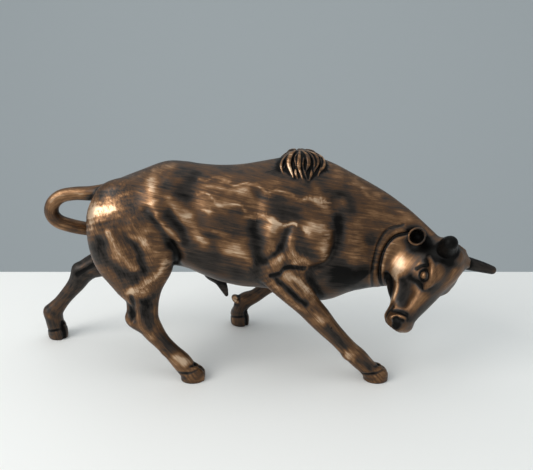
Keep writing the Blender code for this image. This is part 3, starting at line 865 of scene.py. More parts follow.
MUSCLES = (
    Muscle((19, -24, 97), (41, -24, 95), 13.0, 9.0),
    Muscle((21, -26, 106), (3, -28, 80), 7.5, 6.0),
    Muscle((-1, -29, 80), (8, -30, 70), 4.6, 4.4),
    Muscle((10, -31.5, 84), (31, -33.2, 53), 5.0, 4.0, 1.6),
    Muscle((3, -29, 76), (25, -31.5, 47), 4.0, 3.6, 1.6),
    Muscle((-73, -28, 88), (-84, -27, 60), 6.5, 4.8),
    Muscle((-87, -27, 72), (-90, -28, 41), 3.2, 2.8, 1.6),
    Muscle((-92, -28.8, 45), (-83, -29, 35.5), 4.0, 4.2, 4.5),
    Muscle((50.5, -33.5, 21.5), (56, -33, 15.5), 3.0, 5.2, 1.4),
    Muscle((-70, -31, 22.8), (-63, -31.5, 17.5), 3.0, 5.2, 1.4),
    Muscle((19, 24, 97), (41, 24, 95), 13.0, 9.0),
    Muscle((20, 27, 106), (9, 33, 74), 7.5, 6.0),
    Muscle((18, 34, 84), (16, 42, 54), 4.6, 4.0, 1.6),
    Muscle((-84, 27, 84), (-110, 27, 67), 6.5, 4.6),
    Muscle((-118, 26, 72), (-142, 26, 59), 3.2, 2.8, 1.6),
    Muscle((-144, 26, 60), (-137, 26, 51), 4.0, 4.0, 4.5),
    Muscle((-28, 49, 25), (-20, 49.5, 19), 3.0, 5.2, 1.4),
    Muscle((-169.5, 26, 26), (-163, 26, 17), 4.2, 5.6, 3.0),
    Muscle((24, 0, 57), (46, 0, 55), 9.0, 15.0),
    Muscle((40, 0, 52), (78, -2, 58), 3.4, 4.5),
    Muscle((-44, 0, 67), (-31, 0, 59), 5.0, 6.0),
    Muscle((-110, 0, 92), (-104, 0, 66), 6.0, 6.5),
)


@dataclass(frozen=True)
class Stroke:
    """A swell of the flank, or a hollow where height is negative, seen from the side.

    Attributes:
        route: x and z of the points that it passes through.
        radius: Half width.
        height: How far it swells.
        hands: The sides that have it.
    """

    route: Route
    radius: float
    height: float
    hands: tuple[Hand, ...] = (Hand.RIGHT, Hand.LEFT)


RIGHT_ONLY = (Hand.RIGHT,)
LEFT_ONLY = (Hand.LEFT,)

STROKES = (
    Stroke(((29, 96), (30, 95)), 13.0, 2.6),
    Stroke(((24, 134), (33, 110)), 8.0, 1.4),
    Stroke(((5, 107), (2, 95)), 4.6, 1.9),
    Stroke(((15.5, 99), (15.5, 90)), 2.8, 0.9),
    Stroke(((44, 120), (46, 100), (40, 84), (29, 78)), 4.5, -2.4),
    Stroke(((43.5, 100), (43, 92), (38, 82.5), (29, 79)), 2.2, -0.9),
    Stroke(((-6, 122), (-8, 100), (-4, 84)), 5.5, -1.7),
    Stroke(((14, 107), (12, 99), (8, 92), (1, 84)), 2.6, -1.0),
    Stroke(((47, 129), (88, 106)), 7.0, 1.3),
    Stroke(((42, 118), (68, 107), (92, 94)), 4.0, -0.9),
    Stroke(((52, 96), (66, 82), (80, 74)), 8.0, 1.4),
    Stroke(((92, 99), (83, 95.5), (77, 88), (74.4, 77), (76, 66), (80, 57)), 1.1, -1.5),
    Stroke(((90, 101.5), (81, 98), (74.4, 89.5), (71.7, 77), (73, 65.5), (76.5, 56)), 1.0, 0.35),
    Stroke(((88, 104), (78, 100), (72, 91), (69.2, 77), (70.4, 65), (73, 56)), 0.9, -0.6),
    Stroke(((-60, 136), (-57, 133)), 6.0, 1.8),
    Stroke(((-48, 130), (-45, 108)), 8.0, -1.8),
    Stroke(((-109, 113), (-106, 109)), 6.5, 1.2),
    Stroke(((-72, 128), (-69, 114)), 7.0, 1.6, RIGHT_ONLY),
    Stroke(((-71, 93), (-68, 86)), 6.5, 2.4, RIGHT_ONLY),
    Stroke(((-74, 116), (-68, 108), (-63, 100), (-60, 94)), 3.2, -1.1, RIGHT_ONLY),
    Stroke(((-67, 112), (-61, 104), (-57, 97)), 2.2, 0.4, RIGHT_ONLY),
    Stroke(((-60, 114), (-54, 105), (-51, 97)), 3.6, -1.4, RIGHT_ONLY),
    Stroke(((-61, 121), (-55, 117), (-49, 112), (-43, 104), (-39, 97)), 4.4, 0.8, RIGHT_ONLY),
    Stroke(((-60, 95), (-57, 88), (-59, 80)), 3.4, -2.8, RIGHT_ONLY),
    Stroke(((-98, 102), (-92, 90), (-84, 81)), 3.2, 0.9, RIGHT_ONLY),
    Stroke(((-88, 101), (-81, 91), (-77, 79)), 3.2, -1.0, RIGHT_ONLY),
    Stroke(((-105, 98), (-99, 85), (-92, 77), (-83, 76)), 3.4, -0.8, RIGHT_ONLY),
    Stroke(((-64, 83), (-69, 75), (-77, 70), (-85, 66)), 2.8, 1.1, RIGHT_ONLY),
    Stroke(((-83, 107), (-75, 104)), 4.0, 0.8, RIGHT_ONLY),
    Stroke(((-67, 122), (-66, 94)), 9.0, 2.4, LEFT_ONLY),
    Stroke(((-87, 118), (-88, 88)), 6.0, 1.4, LEFT_ONLY),
    Stroke(((-57, 118), (-55, 104), (-58, 88)), 4.0, -2.4, LEFT_ONLY),
    Stroke(((-79, 120), (-80, 98), (-82, 84)), 3.5, -1.2, LEFT_ONLY),
    Stroke(((-97, 112), (-100, 92), (-104, 78)), 3.5, -1.1, LEFT_ONLY),
)


def route_gap(places: Sequence[np.ndarray], route: Route) -> np.ndarray:
    """Distance from places to a smooth curve through a route, in two or three dimensions.

    Args:
        places: The places' numbers along each axis, shaped to broadcast together.
        route: The points of the route.

    Returns:
        The distance to the nearest stretch of the curve.
    """
    path = smooth_rows(route)
    shape = np.broadcast_shapes(*(part.shape for part in places))
    nearest = np.full(shape, np.inf, np.float32)
    for start, end in zip(path, path[1:], strict=False):
        stretch = end - start
        run = max(stretch @ stretch, TINY)
        offsets = [part - first for part, first in zip(places, start, strict=True)]
        share = sum(offset * step for offset, step in zip(offsets, stretch, strict=True))
        share = np.clip(share / run, 0, 1)
        gap = sum((offset - share * step) ** 2 for offset, step in zip(offsets, stretch, strict=True))
        nearest = np.minimum(nearest, gap)
    return np.sqrt(nearest)


@dataclass(frozen=True)
class Flanks:
    """The relief of both flanks, faded out towards the centre plane.

    Attributes:
        strokes: The swells and hollows.
        fade: Distances from the centre plane where they start and are full.
    """

    strokes: tuple[Stroke, ...] = STROKES
    fade: tuple[float, float] = (3.0, 12.0)

    def press(self, clay: Clay) -> None:
        """Moves the skin out by the sum of height exp(-(d / radius)^2) over the strokes.

        Args:
            clay: The block to work in.
        """
        x, y, z = clay.axes(clay.whole())
        for hand in Hand:
            rise = np.zeros((x.size, 1, z.size), np.float32)
            for stroke in self.strokes:
                if hand in stroke.hands:
                    gap = route_gap((x, z), stroke.route) / stroke.radius
                    rise += stroke.height * np.exp(-gap * gap)
            start, full = self.fade
            fade = smoothstep((y * hand.value - start) / (full - start))
            reached = np.flatnonzero(fade.ravel())
            rows = slice(reached[0], reached[-1] + 1)
            clay.outside[:, rows] -= fade[:, rows] * rise


@dataclass(frozen=True)
class Crease:
    """A crease along a route, or a ridge where depth is negative.

    Attributes:
        route: The places that it passes through.
        radius: Half width.
        depth: How deep it goes.
    """

    route: Route
    radius: float
    depth: float


CREASES = (
    Crease(
        ((3, -36, 75.5), (8, -37, 77.5), (12, -37, 81), (17, -37, 81.4), (25, -36, 79.4)), 1.2, 1.1
    ),
    Crease(((7, -37, 73), (16, -38, 65), (25, -38, 57)), 1.8, 0.9),
    Crease(((-86, -32, 62), (-85, -32, 50), (-86, -32, 43)), 1.8, 1.0),
    Crease(((-112, 20, 70), (-128, 20, 62), (-140, 20, 55)), 1.8, 1.0),
)


@dataclass(frozen=True)
class Horn:
    """A short tapered horn.

    Attributes:
        name: Which horn it is.
        stations: side, nose and forehead places on the head, and how far the radius is
            from the base's to the tip's.
        base: Radius at the base.
        tip: Radius at the tip.
        fillet: Size of the fillet between the horn and the head.
    """

    name: str
    stations: Route
    base: float = 5.0
    tip: float = 1.8
    fillet: float = 1.2

    def path(self, frame: HeadFrame) -> np.ndarray:
        """The dense path with its half sizes, on the figure's grid.

        Args:
            frame: How the head is held.

        Returns:
            A place and two half sizes to a row.
        """
        rows = []
        for side, nose, forehead, taper in self.stations:
            radius = self.base + (self.tip - self.base) * taper
            rows.append((*frame.place(side, nose, forehead), radius, radius))
        return smooth_rows(rows)

    def model(self, clay: Clay, frame: HeadFrame) -> None:
        """Merges the horn in."""
        clay.merge(*clay.tube(self.path(frame), tuple(frame.axes[1])), self.fillet)


HORNS = (
    Horn(
        "right",
        (
            (-7, -0.5, -2, 0.0),
            (-13, -1, -1.5, 0.0),
            (-18, -2, 0.3, 0.2),
            (-23, -3, 2.6, 0.6),
            (-27, -4, 5, 1.0),
        ),
        6.0,
        4.4,
    ),
    Horn(
        "left",
        (
            (6, 0.6, -0.6, 0),
            (12, -0.4, 0.2, 0),
            (17, -2.2, 3, 0.15),
            (22.5, -4.7, 7.2, 0.5),
            (27.6, -7, 11.6, 1),
        ),
        4.4,
        2.8,
    ),
)


# The cup of an ear: how far from the root to the rim, and the share of the radius
EAR_OUTSIDE = ((-0.4, 0.45), (0.0, 0.45), (0.25, 0.62), (0.5, 0.86), (0.7, 0.98), (0.85, 1.0))
EAR_INSIDE = ((0.55, 0.5), (0.65, 0.8), (0.85, 0.97), (1.2, 1.05), (1.6, 1.1))


@dataclass(frozen=True)
class Ear:
    """A round cup on a short stalk, open to the side.

    Attributes:
        root: Where it leaves the head, on the head's grid.
        rim: The middle of its rim.
        radius: Outer radius of the cup.
        wall: Thickness of its wall at the rim.
        oval: Half thickness and half width as shares of the radius.
        fillet: Size of the fillet between the ear and the head.
        rim_round: Size of the round at the hollow's rim.
    """

    root: Row
    rim: Row
    radius: float = 5.6
    wall: float = 1.3
    oval: tuple[float, float] = (0.97, 1.06)
    fillet: float = 0.8
    rim_round: float = 0.5

    def model(self, clay: Clay, frame: HeadFrame) -> None:
        """Merges the cup in and hollows it.

        Args:
            clay: The block to work in.
            frame: How the head is held.
        """
        root = np.array(frame.place(*self.root))
        rim = np.array(frame.place(*self.rim))
        side = tuple(np.array(frame.place(0, -10, 0)) - frame.place(0, 0, 0))
        cup, hollow = (
            smooth_rows(
                [
                    (*(root + (rim - root) * level), *(flat * share * radius for flat in self.oval))
                    for level, share in levels
                ]
            )
            for levels, radius in ((EAR_OUTSIDE, self.radius), (EAR_INSIDE, self.radius - self.wall))
        )
        window, distance = clay.tube(cup, side)
        x, y, z = clay.axes(window)
        out = unit_vector(rim - root)
        past = (x - rim[0]) * out[0] + (y - rim[1]) * out[1] + (z - rim[2]) * out[2]
        clay.merge(window, np.maximum(distance, past).astype(np.float32), self.fillet)
        clay.carve(*clay.tube(hollow, side), self.rim_round)


EARS = (
    Ear((-15.6, 3.7, -22.3), (-25.5, 3.9, -16.5)),
    Ear((11, 7, -15), (22.5, 3.6, -18.5)),
)


@dataclass(frozen=True)
class Head:
    """The lowered head: skull and jaws as one loft, with cheeks, brows, muzzle and folds.

    Attributes:
        frame: How it is held.
        stations: Distance from the poll, forehead, underside, half width and squareness.
        fillet: Size of the fillet between the head and the neck.
        masses: Start, end, half thickness, half width and fillet of the swells of the left side.
        creases: Creases of the right side, on the head's grid.
        socket: Radius of the ring of the groove round the eye, its half width and depth.
        warts: How many bumps stand round the base of the left horn.
        wart: Half width and height of a bump.
        wart_ring: Radius of their ring and how much it wanders, as a share, in three lobes.
        wart_middle: Middle of their ring, on the head's grid.
        wart_sway: How far they leave the ring's plane, and in how many waves.
        eye_radius: Radius of the eyeball.
        eye_fillet: Size of the fillet round it.
        eye_place: Its middle, on the head's grid, for the left eye.
        margin: How far past the box of the loft its distances are worked out.
        box: Lowest and highest side, nose and forehead place of that box.
    """

    frame: HeadFrame = HeadFrame()
    stations: Route = (
        (-7, 2, -12, 7, 2.0),
        (-3, 6, -18, 11.5, 2.1),
        (3, 8, -24, 13.5, 2.2),
        (10, 8.4, -28, 13.6, 2.3),
        (17, 7.6, -33, 13.4, 2.4),
        (24, 6.4, -36, 12.6, 2.4),
        (30, 5.6, -36, 11.2, 2.4),
        (35, 5.2, -34, 9.4, 2.3),
        (39.5, 4.8, -28.5, 8.3, 2.2),
        (44, 4.6, -22.5, 7.8, 2.1),
        (48, 4.6, -16, 7.8, 2.1),
        (52, 4.8, -14.4, 8.6, 2.2),
        (57, 4.2, -13.4, 8.4, 2.2),
        (60, 1.2, -10, 6.6, 2.1),
    )
    fillet: float = 2.5
    masses: tuple[tuple[Row, Row, float, float, float], ...] = (
        ((10.2, 16, -17), (10.2, 31, -30), 10.0, 4.6, 4.0),
        ((10.5, 8, 0.5), (10, 25, 0.5), 5.0, 4.8, 5.0),
        ((6.5, 24, 1), (5, 47, 0), 3.0, 2.6, 5.0),
        ((4.8, 50, 0), (5, 58, -1.5), 4.6, 4.4, 3.0),
        ((4, -4, 3), (9, 4, 1), 5.0, 5.0, 3.0),
    )
    creases: tuple[Crease, ...] = (
        Crease(((-10, 31, -19), (-8, 38, -15), (-7, 44, -13.5), (-6, 48.5, -14)), 1.7, -0.6),
        Crease(((-8, 33, -26), (-7, 39, -20), (-6.5, 45, -17)), 2.4, 1.2),
        Crease(((-7, 60, -7.5), (-8, 54, -9.5), (-7.5, 49, -9.5)), 0.9, 0.6),
        Crease(((-10, 32, -9), (-8.5, 42, -6.5)), 4.6, 1.3),
        Crease(((-12.5, 28, -10), (-11, 27, -5), (-10, 27, -1)), 2.0, 0.6),
        Crease(
            ((-13.5, 10, -7), (-13.8, 12.5, -2.5), (-13, 16.5, 1.2), (-11.3, 21, 2.6), (-10.3, 26, 1.6)),
            1.5,
            -1.0,
        ),
        Crease(((-15, 20.5, -9.5), (-15, 17, -8), (-14.2, 14.4, -4.6)), 0.9, 0.8),
        Crease(((-8.6, 51, -8), (-8.4, 49.2, -5), (-7.4, 48, -2), (-6.2, 47, 0.6)), 1.3, 0.9),
        Crease(((-9.2, 54.5, -5), (-9, 51.4, -2), (-7, 50, 1.2)), 1.1, -0.9),
        Crease(((-9, 53.4, -1.6), (-8.8, 55.6, 1), (-7, 58, 0.4)), 1.8, 2.8),
        Crease(((-7.2, 51.8, 1.6), (-8.4, 53, 0.4)), 1.1, 1.4),
    )
    socket: Row = (3.2, 0.8, 1.1)
    warts: int = 11
    wart: tuple[float, float] = (1.15, 0.9)
    wart_ring: tuple[float, float] = (6.4, 0.18)
    wart_middle: Row = (9.6, 1, -1)
    wart_sway: tuple[float, float] = (0.9, 2.5)
    eye_radius: float = 2.7
    eye_fillet: float = 0.2
    eye_place: Row = (12.4, 20.6, -2.6)
    margin: float = 4.0
    box: tuple[tuple[float, float], ...] = ((-15, 15), (-9, 62), (-34, 10))

    def model(self, clay: Clay) -> None:
        """Merges the head in, with its ears, horns and eyes, and presses its folds.

        Args:
            clay: The block to work in.
        """
        clay.merge(*self.loft(clay), self.fillet)
        side = tuple(self.frame.axes[0])
        for start, end, thickness, width, fillet in self.masses:
            for hand in Hand:
                ends = [self.frame.place(hand.value * p[0], p[1], p[2]) for p in (start, end)]
                mass = clay.ellipsoid(*ends, thickness, width * self.frame.side_unit, side)
                clay.merge(*mass, fillet)
        for piece in (*HORNS, *EARS):
            piece.model(clay, self.frame)
        for crease in self.creases:
            for mirror in (1, -1):
                route = [self.frame.place(mirror * s, n, f) for s, n, f in crease.route]
                clay.press(route, crease.radius, crease.depth)
        self.raise_warts(clay)
        for hand in Hand:
            self.set_eye(clay, hand)

    def raise_warts(self, clay: Clay) -> None:
        """Raises the bumps round the base of the left horn, in an uneven ring.

        Args:
            clay: The block to work in.
        """
        ring, wander = self.wart_ring
        sway, waves = self.wart_sway
        radius, height = self.wart
        side, nose, forehead = self.wart_middle
        for k in range(self.warts):
            angle = 2 * math.pi * k / self.warts
            spread = ring * (1 + wander * math.cos(3 * angle))
            place = self.frame.place(
                side + sway * math.sin(waves * angle),
                spread * math.cos(angle) + nose,
                spread * math.sin(angle) + forehead,
            )
            clay.press([place, place], radius, -height)

    def set_eye(self, clay: Clay, hand: Hand) -> None:
        """Presses the groove round an eye and sets the eyeball in.

        Args:
            clay: The block to work in.
            hand: The side.
        """
        ring, radius, depth = self.socket
        side, nose, forehead = self.eye_place
        side *= hand.value
        rim = [
            self.frame.place(side, nose + ring * math.cos(angle), forehead + ring * math.sin(angle))
            for angle in np.radians(range(0, 361, 30))
        ]
        clay.press(rim, radius, depth)
        ball = np.array([(*self.frame.place(side, nose, forehead), self.eye_radius, self.eye_radius)] * 2)
        ball[1, 0] += 10 * SHORT
        clay.merge(*clay.tube(ball, UP), self.eye_fillet)

    def loft(self, clay: Clay) -> tuple:
        """Distances to the loft of the head.

        At each distance from the poll the section is |u / w|^n + |v / h|^n = 1, with n
        its squareness, and a place lies outside it by its radius less the section's.

        Args:
            clay: The block to work in.

        Returns:
            The window and the distances in it.
        """
        rows = smooth_rows(self.stations)
        corners = np.array([self.frame.place(*corner) for corner in itertools.product(*self.box)])
        window = clay.window(corners.min(axis=0) - self.margin, corners.max(axis=0) + self.margin)
        x, y, z = clay.axes(window, self.frame.poll)
        side, nose, forehead = (x * axis[0] + y * axis[1] + z * axis[2] for axis in self.frame.axes)
        top, bottom, half, squareness = (
            np.interp(nose, rows[:, 0], rows[:, k]).astype(np.float32) for k in range(1, 5)
        )
        middle, tall = (top + bottom) / 2, (top - bottom) / 2
        wide = half * self.frame.side_unit
        level = forehead - middle
        share = np.abs(side / wide) ** squareness + np.abs(level / tall) ** squareness
        share = np.maximum(share ** (1 / squareness), SHORT)
        distance = np.hypot(side, level) * (1 - 1 / share)
        return window, capped(distance, nose, rows[0, 0], rows[-1, 0])


TUFT_MIDDLE = (22.8, 0.0, 139.5)


@dataclass(frozen=True)
class Tuft:
    """Tuft of curls on the withers: a smooth crown, and pointed locks that fall from it.

    Attributes:
        middle: Middle of the crown, on the grid.
        crown: Half length, half width and half height of the crown.
        locks: x, z and the radius of the points of each lock, seen from the side.
        shape: The radius as a share, evenly from a lock's start to its tip.
        lift: How far a lock stands out of the skin, in its radii.
        crown_fillet: Size of the fillet between the crown and the withers.
        lock_fillet: The same between the locks.
        lock_reach: How far out the distances to a lock are worked out.
        lock_steps: How many rows are made of each stretch of a lock.
        depths: Distances from the centre plane at which the skin is looked for.
    """

    middle: Row = TUFT_MIDDLE
    crown: Row = (14.5, 13.0, 10.2)
    locks: tuple[tuple[Route, float], ...] = (
        (((15.5, 148), (11.2, 144), (9.4, 140.5), (10.4, 136.6)), 1.2),
        (((17, 148.5), (13.8, 146), (12.6, 142), (10.6, 138.4)), 0.9),
        (((18.6, 149), (15.6, 146.5), (14.4, 141.5), (16.9, 134.6)), 1.9),
        (((20.6, 148.6), (18.4, 145.5), (18.9, 141.5), (17.6, 138.5)), 1.0),
        (((21.5, 149.2), (20.8, 145), (20.6, 140), (22.6, 134.2)), 1.5),
        (((22.4, 149.2), (23.6, 146), (22.8, 141.5), (25.8, 132.8)), 1.0),
        (((23.2, 149.2), (26.0, 146.5), (26.6, 142), (24.6, 137)), 1.5),
        (((25, 149), (28.8, 146.5), (30.4, 141.5), (27.2, 133.6)), 1.1),
        (((26.6, 148.8), (31.2, 146.4), (32.4, 142), (29.4, 136.4)), 1.6),
        (((27.8, 148.2), (33.8, 145.6), (34.8, 140.5), (32.6, 134.8)), 1.0),
        (((29.4, 147.4), (36.2, 143.8), (36.6, 140), (33.8, 137)), 1.4),
        (((18.8, 140), (18.4, 137), (19.6, 133.8)), 1.0),
        (((28.4, 139.6), (28.2, 136), (26.6, 132.4)), 0.9),
    )
    shape: Row = (0.55, 0.95, 1.1, 1.0, 0.7, 0.25)
    lift: float = 0.55
    crown_fillet: float = 1.5
    lock_fillet: float = 0.35
    lock_reach: float = 3.0
    lock_steps: int = 4
    depths: tuple[float, ...] = tuple(step / 4 for step in range(120))

    def model(self, clay: Clay) -> None:
        """Merges the crown in and then the locks.

        Args:
            clay: The block to work in.
        """
        x, y, z = self.middle
        length, width, height = self.crown
        crown = clay.ellipsoid((x, y - width, z), (x, y + width, z), height, length, AHEAD)
        clay.merge(*crown, self.crown_fillet)
        paths = [self.path(clay, hand, *lock) for hand in Hand for lock in self.locks]
        for rows in paths:
            clay.merge(*clay.tube(rows, AHEAD, self.lock_reach), self.lock_fillet)

    def path(self, clay: Clay, hand: Hand, route: Route, radius: float) -> np.ndarray:
        """The path of a lock, laid on the skin of one side.

        Args:
            clay: The block that holds the skin.
            hand: The side.
            route: x and z of the lock's points.
            radius: Its radius where it is thickest.

        Returns:
            The dense path with its half sizes, on the grid.
        """
        rows = smooth_rows(route, self.lock_steps)
        along, given = np.linspace(0, 1, len(rows)), np.linspace(0, 1, len(self.shape))
        share = np.interp(along, given, self.shape)
        depths = np.array(self.depths)
        x, y, z = (
            part.ravel() for part in np.broadcast_arrays(rows[:, :1], depths[None, :], rows[:, 1:2])
        )
        inside = clay.sample(np.stack([x, hand.value * y, z], axis=1)).reshape(len(rows), -1) < 0
        last = len(depths) - 1 - inside[:, ::-1].argmax(axis=1)
        skin = np.where(inside.any(axis=1), depths[last], 0)
        out = hand.value * (skin + self.lift * radius * share)
        return np.stack([rows[:, 0], out, rows[:, 1], radius * share, radius * share], axis=1)


def mesh_from_arrays(name: str, points: np.ndarray, faces: np.ndarray) -> bpy.types.Mesh:
    """Puts arrays of points and of faces into a mesh.

    Args:
        name: The mesh's name.
        points: One point to a row, in metres.
        faces: One face to a row, as numbers of points.

    Returns:
        The mesh, shaded smooth.
    """
    mesh = bpy.data.meshes.new(name)
    count, corners = faces.shape
    mesh.vertices.add(len(points))
    mesh.vertices.foreach_set("co", points.astype(np.float32).ravel())
    mesh.loops.add(faces.size)
    mesh.loops.foreach_set("vertex_index", faces.astype(np.int32).ravel())
    mesh.polygons.add(count)
    mesh.polygons.foreach_set("loop_start", np.arange(0, faces.size, corners, dtype=np.int32))
    mesh.polygons.foreach_set("use_smooth", np.ones(count, bool))
    mesh.update(calc_edges=True)
    mesh.validate()
    return mesh


def link(name: str, mesh: bpy.types.Mesh) -> bpy.types.Object:
    """Puts a mesh into the scene as an object at the origin.

    Args:
        name: The object's name.
        mesh: Its mesh.

    Returns:
        The object.
    """
    made = bpy.data.objects.new(name, mesh)
    bpy.context.scene.collection.objects.link(made)
    return made


def applied(piece: bpy.types.Object) -> None:
    """Applies the modifiers of an object to its mesh.

    Args:
        piece: The object.
    """
    graph = bpy.context.evaluated_depsgraph_get()
    made = bpy.data.meshes.new_from_object(piece.evaluated_get(graph))
    old = piece.data
    piece.modifiers.clear()
    piece.data = made
    bpy.data.meshes.remove(old)


def points_and_normals(mesh: bpy.types.Mesh) -> tuple[np.ndarray, np.ndarray]:
    """The mesh's points and their normals.

    Args:
        mesh: The mesh.

    Returns:
        The points and the normals, one to a row.
    """
    found = []
    for key in ("co", "normal"):
        flat = np.empty(3 * len(mesh.vertices), np.float32)
        mesh.vertices.foreach_get(key, flat)
        found.append(flat.reshape(-1, 3).astype(float))
    return found[0], found[1]


def neighbour_means(faces: np.ndarray, values: np.ndarray, rounds: int) -> np.ndarray:
    """Evens values out over a mesh: each becomes the mean over the faces round its point.

    Args:
        faces: Faces as numbers of points.
        values: A row of values for each point.
        rounds: How often it is done.

    Returns:
        The evened values.
    """
    count = np.bincount(faces.ravel(), minlength=len(values))
    for _ in range(rounds):
        middle = values[faces].mean(axis=1)
        spread = np.repeat(middle, faces.shape[1], axis=0)
        total = [np.bincount(faces.ravel(), column, len(values)) for column in spread.T]
        values = np.stack(total, axis=1) / count[:, None]
    return values


@dataclass(frozen=True)
class RubAndPaintedLight:
    """A place where the tone is lifted, or lowered where amount is negative: mostly patina rubbed thin or
    left dark, and in some places painted highlights and painted shade.

    Attributes:
        route: x and z, seen from the side, or three numbers, of the points it passes.
        radius: Half width.
        amount: How much it lifts the tone.
        power: How flat it is in the middle and how sharp its edge.
    """

    route: Route
    radius: float
    amount: float
    power: float = 2.0

    def lift(self, places: Sequence[np.ndarray], spread: float = 1.0) -> np.ndarray:
        """How much the tone is lifted: amount exp(-(d / (spread radius))^power).

        Args:
            places: The points' numbers along each axis of the route.
            spread: How much wider than its radius the rub is.

        Returns:
            The lift at each place, with d its distance to the route.
        """
        gap = route_gap(places, self.route) / (spread * self.radius)
        return self.amount * np.exp(-(gap**self.power))
